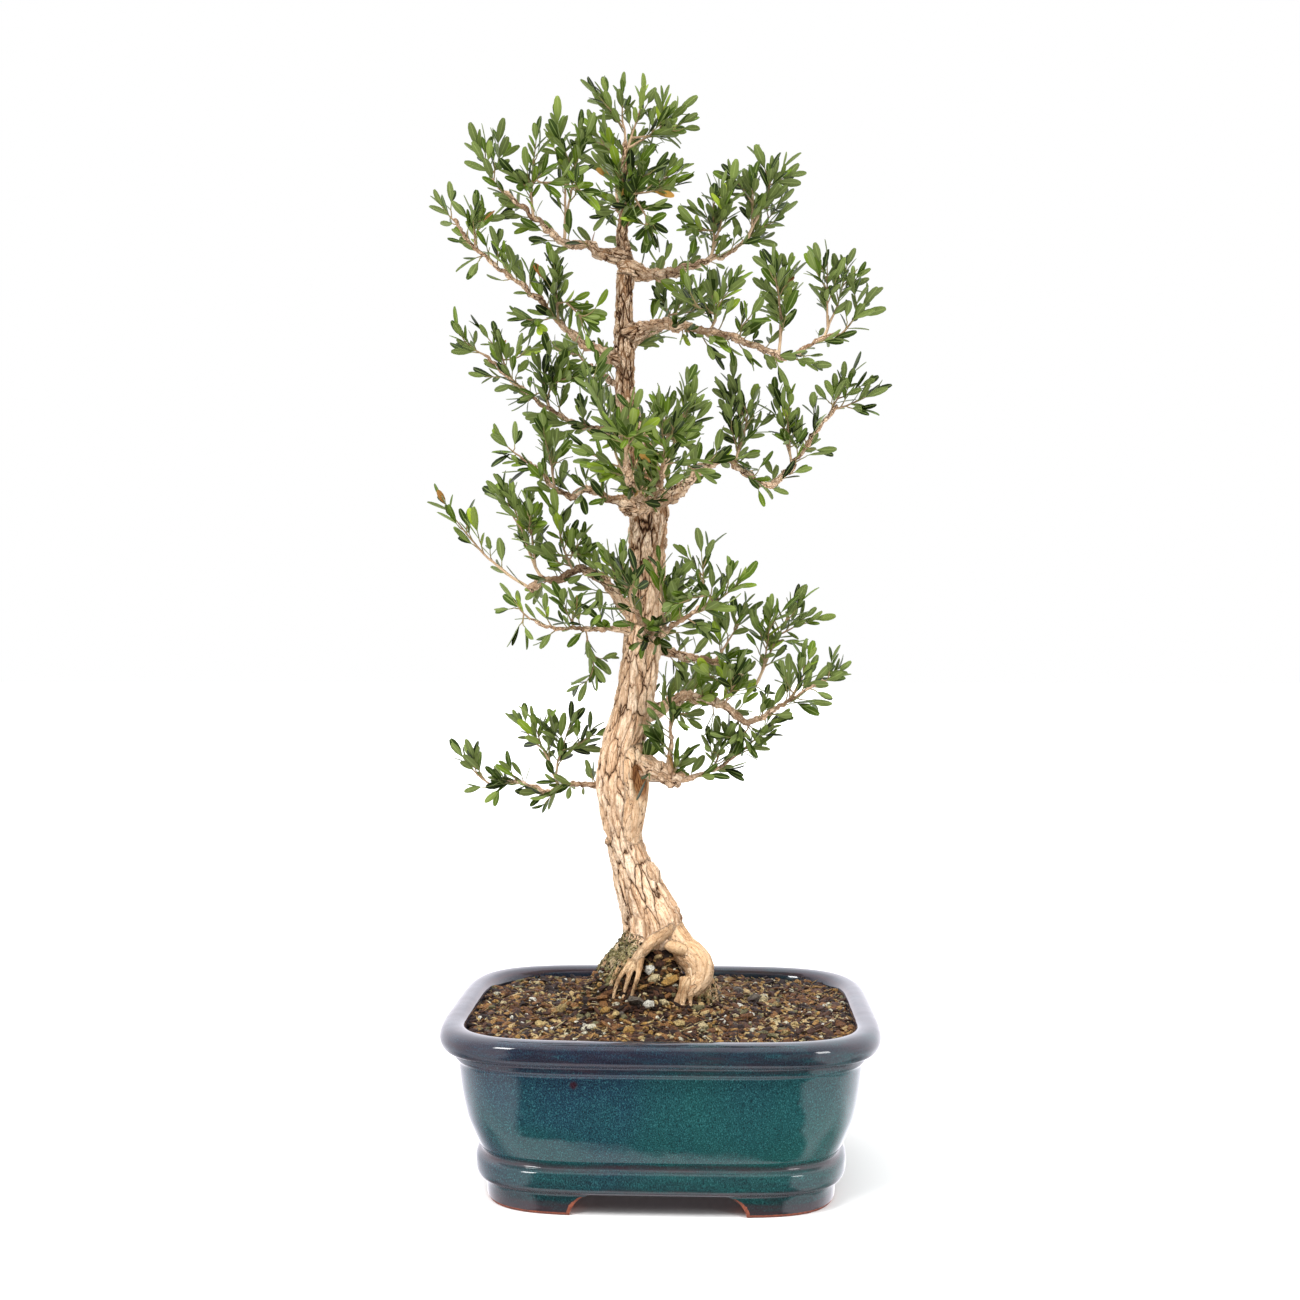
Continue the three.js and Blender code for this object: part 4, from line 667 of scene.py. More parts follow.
# The trunk with its root flare, nub and the collars where limbs leave it, merged by a fine remesh
def buildTrunk():
    # The trunk is lobed, and its other wood is a little oval
    def lobes(angle, far):
        broad = 1 + 0.07 * np.cos(2 * angle + far / 70) + 0.05 * np.cos(3 * angle - far / 45 + 1)
        return broad + 0.03 * np.cos(7 * angle + far / 25)

    def plain(angle, far):
        return 1 + 0.06 * np.cos(2 * angle + far / 12)

    s, m = barkSettings, mossSettings
    woods = []
    for rough, moss, path in [(1, 1, trunkPath), *otherWood]:
        woods.append((rough, moss, smoothPath(path, s["ringStep"])))
    for limb in limbs.values():
        route = limbRoute(limb, s["stubStep"])
        root = limb["route"][0]
        reach = min(trunkPath, key=lambda p: abs(p[2] - root[2]))[3] + s["stubReach"]
        marks = distances(route)
        route[:, 3] *= np.interp(marks / reach, [0, 0.5, 1], s["stubSwell"])
        woods.append((s["stubRough"], 0, route[marks < reach]))
    points, faces, base = [], [], 0
    for k, (rough, moss, path) in enumerate(woods):
        ring, sides = tube(path, s["ringSides"], plain if k else lobes)
        points.append(ring)
        faces += [tuple(i + base for i in face) for face in sides]
        base += len(ring)
    rough = meshObject("roughTrunk", toMetres(np.vstack(points)), faces)
    remesh = rough.modifiers.new("remesh", "REMESH")
    remesh.mode = "VOXEL"
    remesh.voxel_size = s["voxel"] * mm
    soften = rough.modifiers.new("soften", "SMOOTH")
    soften.factor = s["smoothBy"]
    soften.iterations = s["smoothing"]
    trunk = bake(rough, "trunkCore")
    points = readPoints(trunk.data)
    space, (girth, rough, moss) = layBark(points, woods)
    around = ((points[:, 0] - m["x"]) / m["wide"]) ** 2 + ((points[:, 2] - m["z"]) / m["high"]) ** 2
    low = np.clip((m["lowTop"] - points[:, 2]) / m["lowFade"], 0, m["lowMost"])
    around = np.maximum(np.clip(m["most"] - around, 0, 1), low)
    hollow = carveWound(points)
    trunk.data.vertices.foreach_set("co", toMetres(points).astype(np.float32).ravel())
    rough = rough * np.interp(points[:, 2], s["highFrom"], [1, s["highRough"]])
    putAttribute(trunk.data, "barkSpace", "FLOAT_VECTOR", space)
    for name, values in (("girth", girth), ("rough", rough * (1 - hollow)), ("mossy", moss * around),
            ("hollow", hollow)):
        putAttribute(trunk.data, name, "FLOAT", values)
    applyTree(trunk, reliefTree, reliefValues(1.0))
    return bake(trunk, "trunk")


def reliefValues(share):
    s = barkSettings
    depths = {"Crack depth": s["crackDeep"], "Fine depth": s["fineDeep"], "Swell": s["swellDeep"],
        "Grain": s["grainDeep"] * share, "Crumb": s["crumbDeep"] * share}
    depths = {name: deep * mm for name, deep in depths.items()}
    return {**depths, "Crack share": s["crackShare"], "Material": barkMaterial}


# A limb's route with its radius, which a factor and a power set. Thick bases thin out fast; the sawn-off
# stump on the right stays thick.
def limbRoute(limb, step):
    route = smoothPath(limb["route"], step)
    share = np.linspace(0, 1, len(route))
    first, last = limb["radii"]
    slim, power = barkSettings["limbTaper" if limb["sprays"] else "stumpTaper"]
    radius = slim * (last + (first - last) * (1 - share) ** power)
    return np.column_stack([route, radius])


trunk = buildTrunk()
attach(trunk, "root")
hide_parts("tree_wood")
print("trunk and roots:", len(trunk.data.polygons), "faces")


# Limbs follow their routes as closed tubes, with knots and flaking bark
def limbTree():
    tree, add, given = newTree("barkLimbs", Float=["Ring step", "Knot depth"], Int=["Sides"])
    curve = add("GeometryNodeMeshToCurve", {"Mesh": given["Geometry"]})
    even = add("GeometryNodeResampleCurve", {"Curve": curve, "Length": given["Ring step"]}, mode="LENGTH")
    thick, mark, plates = [add("GeometryNodeInputNamedAttribute", {"Name": name})
        for name in ("thick", "mark", "plates")]
    circle = add("GeometryNodeCurvePrimitiveCircle", {"Resolution": given["Sides"], "Radius": 1.0})
    here = add("GeometryNodeInputPosition")
    profile = add("GeometryNodeStoreNamedAttribute", {"Geometry": circle, "Name": "ringSide",
        "Value": here}, data_type="FLOAT_VECTOR")
    skin = add("GeometryNodeCurveToMesh", {"Curve": even, "Profile Curve": profile, "Scale": thick,
        "Fill Caps": True})
    side = add("GeometryNodeInputNamedAttribute", {"Name": "ringSide"}, data_type="FLOAT_VECTOR")
    across = add("VectorMath.SCALE", {0: side, "Scale": plates})
    lengthwise = add("CombineXYZ", {"Z": mark})
    space = add("VectorMath.ADD", [across, lengthwise])
    stored = add("GeometryNodeStoreNamedAttribute", {"Geometry": skin, "Name": "barkSpace",
        "Value": space}, data_type="FLOAT_VECTOR")
    # Knots and swellings about 7 mm apart
    knots = add("TexNoise", {"Vector": here, "Scale": 150.0, "Detail": 4.0, "Roughness": 0.7})
    centred = add("Math.SUBTRACT", [knots, 0.47])
    share = add("Math.MULTIPLY", [centred, given["Knot depth"]])
    metres = add("Math.MULTIPLY", [share, thick])
    normal = add("GeometryNodeInputNormal")
    offset = add("VectorMath.SCALE", {0: normal, "Scale": metres})
    knotted = add("GeometryNodeSetPosition", {"Geometry": stored, "Offset": offset})
    add("NodeGroupOutput", {"Geometry": knotted})
    return tree


# Bare polylines that a tree turns into tubes; each path's columns after x, y, z are attributes
def lineObject(name, paths, columns):
    points, edges, base = [], [], 0
    for path in paths:
        edges += [(base + k, base + k + 1) for k in range(len(path) - 1)]
        base += len(path)
    points = np.vstack(paths)
    lines = meshObject(name, toMetres(points), [], edges)
    for k, column in enumerate(columns):
        putAttribute(lines.data, column, "FLOAT", points[:, 3 + k])
    return lines


def buildLimbs():
    s = barkSettings
    draw = np.random.default_rng(s["limbSeed"])
    span = s["wanderSpan"]
    paths = []
    for k, limb in enumerate(limbs.values()):
        route = limbRoute(limb, s["routeStep"])
        radius = route[:, 3]
        wander = np.cumsum(draw.normal(size=(len(route), 3)), axis=0)
        wander -= np.linspace(0, 1, len(route))[:, None] * wander[-1]
        wander -= np.stack([np.convolve(np.pad(w, span // 2, mode="edge"), np.ones(span) / span, "valid")
            for w in wander.T], axis=1)
        route[:, :3] += wander * s["limbWander"]
        wide = plateWide(radius)
        mark = distances(route, wide[1:] * s["plateStretch"] * s["limbStretch"]) + s["limbPhase"] * k
        girth = np.clip(radius / s["limbGirth"], s["leastGirth"], 1.0)
        paths.append(np.column_stack([route[:, :3], radius * mm, radius / wide, mark, girth,
            np.ones(len(route))]))
    lines = lineObject("limbLines", paths, ["thick", "plates", "mark", "girth", "rough"])
    applyTree(lines, limbTree(), {"Ring step": s["limbStep"] * mm, "Sides": s["limbSides"],
        "Knot depth": s["limbKnots"]})
    applyTree(lines, reliefTree, reliefValues(s["limbGrain"]))
    return bake(lines, "limbs")


limbPiece = buildLimbs()
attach(limbPiece, "root")
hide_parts("tree_wood")
print("limbs:", len(limbPiece.data.polygons), "faces")


# Leaves: narrow, widest past the middle, round tipped, folded along the midrib. Sizes in millimetres.
leafSettings = {
    "long": 17.0, "wide": 5.8, "thick": 0.3, "fold": 0.18, "tipCut": 0.5, "creaseAngle": 70,
    "rows": [(0.0, 0.12), (0.12, 0.36), (0.33, 0.84), (0.58, 1.0), (0.81, 0.8), (0.95, 0.42),
        (1.0, 0.12)],
    "bends": (0.3, 1.5, -0.8),
    "leafyShort": 18.0, "leafyLong": 42.0, "leafyMost": 0.92, "toneSkew": 1.4, "seed": 11, "seedStep": 40,
    "tree": {"Pair spacing": 5.4 * mm, "Lean at tip": 0.3, "Lean step": 0.17, "Most lean": 0.95,
        "Lean spread": 0.24, "Smallest": 0.62, "Largest": 1.1, "Missing": 0.12},
}


# One blade along +Y, its upper face towards +Z. The upper face uses the left half of the UV map.
def leafBlade(name, bend):
    s = leafSettings
    points, faces, maps = [], [], []
    for share, half in s["rows"]:
        drop = -bend * share * share
        wing = half * s["wide"] / 2
        y = share * s["long"] - (s["tipCut"] if share == 1.0 else 0)
        points += [(-wing, y, drop + s["fold"] * wing), (0, y, drop), (wing, y, drop + s["fold"] * wing),
            (0, y, drop - s["thick"])]
    last = 4 * (len(s["rows"]) - 1)
    for r in range(0, last, 4):
        left, mid, right, under = range(r, r + 4)
        for a, b, upper in ((left, mid, True), (mid, right, True), (right, under, False),
                (under, left, False)):
            faces.append((a, b, b + 4, a + 4))
            v = [s["rows"][r // 4][0]] * 2 + [s["rows"][r // 4 + 1][0]] * 2
            u = (0.0, 0.25, 0.25, 0.0) if (a, b) == (left, mid) else (0.25, 0.5, 0.5, 0.25)
            if not upper:
                u = (1.0, 0.75, 0.75, 1.0) if a == right else (0.75, 0.5, 0.5, 0.75)
            maps += list(zip(u, v))
    faces += [(3, 2, 1, 0), (last, last + 1, last + 2, last + 3)]
    maps += [(0.25, 0.0)] * 4 + [(0.25, 1.0)] * 4
    blade = meshObject(name, np.array(points) * mm, faces)
    layer = blade.data.uv_layers.new(name="UVMap")
    layer.data.foreach_set("uv", np.array(maps, np.float32).ravel())
    blade.data.shade_smooth()
    blade.data.set_sharp_from_angle(angle=math.radians(s["creaseAngle"]))
    return blade


# Boxwood leaf: leathery and smooth, satin gloss above, paler and duller below, lighter midrib
def leafMaterial():
    material, add, shader = newMaterial("leathery boxwood leaf")
    leaf, shoot = [add("Attribute", attribute_name=name).outputs["Fac"]
        for name in ("leafTone", "shootTone")]
    spot = add("UVMap", uv_map="UVMap")
    axes = add("SeparateXYZ", {"Vector": spot})
    age = add("Math.MULTIPLY_ADD", [leaf, 0.5, 0.0])
    ageMix = add("Math.MULTIPLY_ADD", [shoot, 0.5, age])
    green = add("ValToRGB", {"Fac": ageMix}, stops=[(0.0, "#1A240B"), (1.0, "#9AAD34"), (0.3, "#2B3B10"),
        (0.55, "#465B17"), (0.78, "#687F22")])
    under = add("Math.GREATER_THAN", [axes.outputs["X"], 0.5])
    turned = add("Math.MULTIPLY", [under, 0.62])
    folded = add("Math.PINGPONG", [axes.outputs["X"], 0.25])
    rib = add("MapRange", [folded, 0.2, 0.25, 0.0, 0.55], interpolation_type="SMOOTHSTEP")
    dead = add("Math.GREATER_THAN", [leaf, 0.9955])
    dry = add("ValToRGB", {"Fac": shoot}, stops=[(0.0, "#8A5A30"), (1.0, "#B98F45")])
    colour = green
    for share, other in ((turned, linear("#7D8B4E")), (rib, linear("#98A862")), (dead, dry)):
        colour = add("Mix", {"Factor": share, "A": colour, "B": other}, data_type="RGBA")
    setInputs(shader, {"Base Color": colour, "Roughness": 0.48, "Specular IOR Level": 0.14})
    return material


# Twigs: thin green stems that turn to tan bark where they are thicker, mottled every 1.4 mm
def twigMaterial():
    material, add, shader = newMaterial("boxwood twig")
    thick = add("Attribute", attribute_name="thick").outputs["Fac"]
    place = add("TexCoord").outputs["Object"]
    mottle = add("TexNoise", {"Vector": place, "Scale": 700.0, "Detail": 3.0})
    spread = add("Math.MULTIPLY_ADD", [mottle, 0.0006, thick])
    ramp = add("MapRange", [spread, 0.0006, 0.0014])
    colour = add("ValToRGB", {"Fac": ramp}, stops=[(0.0, "#7A8140"), (1.0, "#C9AC8B"), (0.2, "#8C7A50"),
        (0.4, "#93785A"), (0.7, "#AE9172")])
    bump = add("Bump", {"Height": mottle, "Strength": 0.6, "Distance": 0.0004})
    setInputs(shader, {"Base Color": colour, "Roughness": 0.75, "Normal": bump})
    return material


# Sweeps twigs along their lines and sets crossed pairs of leaves on them, counted back from each tip
def shootTree():
    tree, add, given = newTree("leafyShoots", Int=["Seed"], Material=["Leaf material", "Twig material"],
        Float=["Pair spacing", "Lean at tip", "Lean step", "Most lean", "Lean spread", "Smallest",
        "Largest", "Missing"], Object=["Leaf one", "Leaf two", "Leaf three"])
    curve = add("GeometryNodeMeshToCurve", {"Mesh": given["Geometry"]})
    thick, leafy, tone = [add("GeometryNodeInputNamedAttribute", {"Name": name})
        for name in ("thick", "leafy", "shootTone")]
    circle = add("GeometryNodeCurvePrimitiveCircle", {"Resolution": 5, "Radius": 1.0})
    stems = add("GeometryNodeCurveToMesh", {"Curve": curve, "Profile Curve": circle, "Scale": thick,
        "Fill Caps": True})
    smooth = add("GeometryNodeSetShadeSmooth", {"Geometry": stems})
    twigs = add("GeometryNodeSetMaterial", {"Geometry": smooth, "Material": given["Twig material"]})

    back = add("GeometryNodeReverseCurve", {"Curve": curve})
    nodes = add("GeometryNodeResampleCurve", {"Curve": back, "Length": given["Pair spacing"]},
        mode="LENGTH")
    place = add("GeometryNodeSplineParameter")
    index, fromTip = place.outputs["Index"], place.outputs["Length"]
    bears = add("Math.LESS_THAN", [fromTip, leafy])
    tangent = add("GeometryNodeInputTangent")
    upward = add("VectorMath.SCALE", {0: tangent, "Scale": -1.0})
    aligned = add("FunctionNodeAlignRotationToVector", {"Vector": upward}, axis="Z")
    quarter = add("Math.MULTIPLY", [index, math.pi / 2])
    phase = add("Math.MULTIPLY_ADD", [tone, 40.0, quarter])
    growing = add("Math.MULTIPLY_ADD", [index, given["Lean step"], given["Lean at tip"]])
    lean = add("Math.MINIMUM", [growing, given["Most lean"]])
    kinds = add("GeometryNodeJoinGeometry")
    for label in ("Leaf one", "Leaf two", "Leaf three"):
        blade = add("GeometryNodeObjectInfo", {"Object": given[label], "As Instance": True})
        tree.links.new(blade.outputs["Geometry"], kinds.inputs[0])
    leaves = add("GeometryNodeJoinGeometry")
    # Each leaf of a pair is spun round the twig, leaned off it and rolled a little, in radians
    for side in (0, 1):
        seeds = [add("Math.ADD", [given["Seed"], float(10 * side + k)]) for k in range(6)]
        jitter = add("FunctionNodeRandomValue", {"Min": -0.3, "Max": 0.3, "Seed": seeds[0]})
        spin = add("Math.ADD", [phase, math.pi * side])
        spun = add("Math.ADD", [spin, jitter])
        spinTurn = add("FunctionNodeAxisAngleToRotation", {"Axis": (0, 0, 1), "Angle": spun})
        spread = add("FunctionNodeRandomValue", {"Min": -1.0, "Max": 1.0, "Seed": seeds[1]})
        leaned = add("Math.MULTIPLY_ADD", [spread, given["Lean spread"], lean])
        tilt = add("Math.SUBTRACT", [math.pi / 2, leaned])
        tiltTurn = add("FunctionNodeAxisAngleToRotation", {"Axis": (1, 0, 0), "Angle": tilt})
        roll = add("FunctionNodeRandomValue", {"Min": -0.5, "Max": 0.5, "Seed": seeds[2]})
        rollTurn = add("FunctionNodeAxisAngleToRotation", {"Axis": (0, 1, 0), "Angle": roll})
        turned = aligned
        for turn in (spinTurn, tiltTurn, rollTurn):
            turned = add("FunctionNodeRotateRotation", {"Rotation": turned, "Rotate By": turn},
                rotation_space="LOCAL")
        size = add("FunctionNodeRandomValue", {"Min": given["Smallest"], "Max": given["Largest"],
            "Seed": seeds[3]})
        kept = add("FunctionNodeRandomValue", {"Seed": seeds[4]})
        stays = add("Math.GREATER_THAN", [kept, given["Missing"]])
        chosen = add("FunctionNodeBooleanMath.AND", [bears, stays])
        which = add("FunctionNodeRandomValue", {"Min": 0, "Max": 2, "Seed": seeds[5]}, data_type="INT")
        pair = add("GeometryNodeInstanceOnPoints", {"Points": nodes, "Selection": chosen,
            "Instance": kinds, "Pick Instance": True, "Instance Index": which, "Rotation": turned,
            "Scale": size})
        tree.links.new(pair.outputs[0], leaves.inputs[0])
    random = add("FunctionNodeRandomValue", {"Seed": given["Seed"]})
    toned = add("GeometryNodeStoreNamedAttribute", {"Geometry": leaves, "Name": "leafTone",
        "Value": random}, domain="INSTANCE")
    real = add("GeometryNodeRealizeInstances", {"Geometry": toned})
    painted = add("GeometryNodeSetMaterial", {"Geometry": real, "Material": given["Leaf material"]})
    joined = add("GeometryNodeJoinGeometry", [painted])
    tree.links.new(twigs.outputs[0], joined.inputs[0])
    add("NodeGroupOutput", {"Geometry": joined})
    return tree


# Twigs, in millimetres. Shares are of a limb or a twig, from its root to its tip.
twigSettings = {
    "seed": 5891, "step": 4.0, "reach": 15.0, "shortestLine": 6.0, "sag": 0.13, "lead": 0.12,
    "wobble": 0.315, "leastPoints": 6,
    "fork": 0.16, "forkStep": 0.12, "nearestFork": 6.0, "tipRadius": 0.34, "baseRadius": 0.5,
    "perLength": 0.004, "perFork": 0.1, "forkPower": 0.6, "bareShare": 0.12, "bearingShare": 0.7,
    "lastSpray": 0.985, "backward": 16.0, "shortest": 16.0, "tooNear": 200.0, "sideFrom": 20.0,
    "sideEvery": 12.0, "sideShares": (0.32, 0.88), "sideReach": (21.0, 36.0), "sideLean": (0.5, 1.0),
    "spurEvery": 5.0, "spurShares": (0.22, 0.92), "spurReach": (19.0, 33.0), "spurLean": (0.6, 1.3),
    "rise": 0.42, "crown": ((-160.0, -118.0, 238.0), (166.0, 118.0, 775.0)),
}


# A twig's line from its root to where its last leaves start, sagging a little and rising to its tip
def twigLine(start, tip, lead, draw):
    s = twigSettings
    reach = tip - start
    length = max(np.linalg.norm(reach) - s["reach"], s["shortestLine"])
    direction = reach / np.linalg.norm(reach)
    end = start + direction * length
    bow = (draw.random(3) - 0.5) * [1, 1, 0] + [0, 0, -1]
    middle = (start + end) / 2 + bow * s["sag"] * length + lead * s["lead"] * length
    t = np.linspace(0, 1, max(s["leastPoints"], int(length / s["step"])))[:, None]
    line = (1 - t) ** 2 * start + 2 * t * (1 - t) * middle + t ** 2 * end
    wobble = np.cumsum(draw.normal(size=line.shape) * s["wobble"], axis=0)
    return line + (wobble - wobble[-1] * t) * np.sin(np.pi * t)


# Grows one limb's shoots: the sprays first, then each further tip from the nearest wood that suits it
def growShoots(limb, draw):
    s = twigSettings
    route = smoothPath(limb["route"], s["step"])
    heading = headings(route)
    count = len(route)
    first = max(1, int(s["bareShare"] * count))
    woody = [(route[k], heading[k], -1) for k in range(first, count)]
    twigs, loads, parents = [], [], []

    def grow(start, tip, lead, parent):
        line = twigLine(np.array(start, float), np.array(tip, float), lead, draw)
        twigs.append(line)
        loads.append(0)
        parents.append(parent)
        up = parent
        while up >= 0:
            loads[up] += 1
            up = parents[up]
        ways = headings(line)
        last = int(s["bearingShare"] * len(line))
        woody.extend((line[k], ways[k], len(twigs) - 1) for k in range(1, last))
        return len(twigs) - 1

    for share, *tips in limb["sprays"]:
        spot = min(count - 1, round(share * s["lastSpray"] * (count - 1)))
        main = grow(route[spot], tips[0], heading[spot] * 0, -1)
        line = twigs[main]
        length = len(line) * s["step"]
        for k, tip in enumerate(tips[1:]):
            fork = max(s["fork"], s["nearestFork"] / length) + s["forkStep"] * k
            grow(line[int(fork * (len(line) - 1)) + 1], tip, heading[spot] * 0, main)
    for tip in sorted(limb["more"], key=lambda p: np.linalg.norm(route - p, axis=1).min()):
        places = np.array([w[0] for w in woody])
        ways = np.array([w[1] for w in woody])
        reach = np.array(tip) - places
        far = np.linalg.norm(reach, axis=1)
        turn = 1 - np.einsum("ij,ij->i", reach, ways) / far
        cost = far + s["backward"] * turn + s["tooNear"] * (far < s["shortest"])
        best = int(cost.argmin())
        grow(places[best], tip, ways[best], woody[best][2])

    def sprout(start, way, reach, lean, parent):
        aside = draw.normal(size=3)
        aside -= way * aside.dot(way)
        aside /= np.linalg.norm(aside)
        turned = way * math.cos(lean) + aside * math.sin(lean) + [0, 0, s["rise"]]
        tip = start + turned * reach / np.linalg.norm(turned)
        grow(start, np.clip(tip, *s["crown"]), way, parent)

    # Short side shoots fill every longer twig, and leafy spurs the outer part of the limb
    for parent in range(len(twigs)):
        line = twigs[parent]
        length = np.linalg.norm(np.diff(line, axis=0), axis=1).sum()
        if length < s["sideFrom"]:
            continue
        for share in np.linspace(*s["sideShares"], max(1, round(length / s["sideEvery"]))):
            k = int(share * (len(line) - 2))
            way = line[k + 1] - line[k]
            sprout(line[k], way / np.linalg.norm(way), draw.uniform(*s["sideReach"]),
                draw.uniform(*s["sideLean"]), parent)
    length = s["step"] * count
    for share in np.arange(*s["spurShares"], s["spurEvery"] / length):
        k = int(share * (count - 1))
        sprout(route[k], heading[k], draw.uniform(*s["spurReach"]), draw.uniform(*s["spurLean"]), -1)
    return twigs, loads


def buildShoots():
    s, t = leafSettings, twigSettings
    tree = shootTree()
    leaf, twig = leafMaterial(), twigMaterial()
    blades = [leafBlade("blade%d" % k, bend) for k, bend in enumerate(s["bends"])]
    draw = np.random.default_rng(t["seed"])
    total = 0
    for number, (name, limb) in enumerate(limbs.items()):
        twigs, loads = growShoots(limb, draw)
        if not twigs:
            continue
        rows = []
        for line, load in zip(twigs, loads):
            length = np.linalg.norm(np.diff(line, axis=0), axis=1).sum()
            base = t["baseRadius"] + t["perLength"] * length + t["perFork"] * load ** t["forkPower"]
            radius = np.linspace(base, t["tipRadius"], len(line)) * mm
            leafy = min(length * s["leafyMost"], draw.uniform(s["leafyShort"], s["leafyLong"])) * mm
            tone = draw.random() ** s["toneSkew"]
            rows.append(np.column_stack([line, radius, np.full(len(line), leafy),
                np.full(len(line), tone)]))
        lines = lineObject("shootLines", rows, ["thick", "leafy", "shootTone"])
        applyTree(lines, tree, {
            **s["tree"], "Seed": s["seed"] + s["seedStep"] * number, "Leaf one": blades[0],
            "Leaf two": blades[1], "Leaf three": blades[2], "Leaf material": leaf, "Twig material": twig})
        piece = bake(lines, "shoots_" + name)
        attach(piece, "root")
        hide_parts(*["spray_%s_%d" % (name, k + 1) for k in range(len(limb["sprays"]))])
        total += len(piece.data.polygons)
    for blade in blades:
        bpy.data.objects.remove(blade)
    print("shoots:", total, "faces")


buildShoots()


# The pot: a superellipse in plan. Each profile point is inset from the rim's outline, height, and how far
# the glaze breaks brown there.
potSettings = {
    "long": 300.0, "deep": 244.0, "power": 4.6, "steps": 192, "profileStep": 1.6,
    "outside": [
        [32.5, 0, 0.3], [30.6, 1.2, 0.95], [30.2, 6.5, 0.75], [30, 12, 0.2], [28.6, 15, 0.8],
        [25.8, 16.2, 0.85], [24, 18.6, 0.6], [23.1, 22, 0.1], [23.2, 27.4, 0], [24.1, 29.8, 0.3],
        [26, 31.4, 0.6], [27.3, 33, 0.85], [27, 34.6, 0.6], [25.4, 37, 0.2], [23.8, 40.5, 0],
        [20.8, 48, 0], [17.6, 57, 0], [15.4, 67, 0], [13.8, 77, 0], [12.4, 89, 0], [11.6, 95.5, 0.1],
        [10.2, 97.4, 0.5], [9, 99, 0.45], [8.6, 102.6, 0.5], [6.4, 104.1, 0.6], [3.4, 104.7, 0.5],
        [1.2, 107.2, 0.3], [0, 111.4, 0.3], [0.8, 115.2, 0.3], [2.6, 118, 0.25], [6, 119.7, 0],
        [9.6, 120, 0], [13, 119.5, 0.1], [15.2, 118.2, 0.7], [16.4, 117, 0.85], [17.4, 115, 0.4],
        [18.2, 112, 0], [19, 104, 0], [28, 66, 0], [37, 40, 0], [46, 27, 0]],
    "footInset": 50.0, "underside": 15.5, "archFront": 58.0, "archSide": 44.0, "archHigh": 14.5,
    "arch": [[1, -4], [1, 0], [0.985, 4], [0.93, 9], [0.86, 12.4], [0.78, 14.5]], "cutReach": 200.0,
    "drainRadius": 9.0, "drainSpacing": 110.0, "drainSides": 32, "drainCut": (12.0, 30.0),
    "creaseAngle": 50, "footSole": 1.7, "footTop": 16.0, "offProfile": 1.0, "shadeInset": 38.0,
    "clayWide": 0.3, "clayUneven": 3.0, "clayHigh": 12.8, "archPower": 2.6, "archNarrows": 0.21,
    "spot": (-53.5, -109.4, 91.0),
}


def potRing(inset, height, turns):
    s = potSettings
    c, d = np.cos(turns), np.sin(turns)
    x = (s["long"] / 2 - inset) * np.sign(c) * np.abs(c) ** (2 / s["power"])
    y = (s["deep"] / 2 - inset) * np.sign(d) * np.abs(d) ** (2 / s["power"])
    return np.column_stack([x, y, np.full(len(turns), float(height))])


# Angles that give evenly spaced points round the rim
def evenTurns(steps):
    fine = np.linspace(0, 2 * np.pi, 20001)
    ring = potRing(0, 0, fine)
    along = distances(ring)
    return np.interp(np.arange(steps) * along[-1] / steps, along, fine)


# How far inside the rim's outline points lie, in millimetres, found by halving a wide range 24 times
def insetOf(points):
    s = potSettings
    low, high = np.full(len(points), -5.0), np.full(len(points), 120.0)
    for _ in range(24):
        middle = (low + high) / 2
        x = np.abs(points[:, 0]) / (s["long"] / 2 - middle)
        y = np.abs(points[:, 1]) / (s["deep"] / 2 - middle)
        inside = x ** s["power"] + y ** s["power"] < 1
        low, high = np.where(inside, middle, low), np.where(inside, high, middle)
    return (low + high) / 2
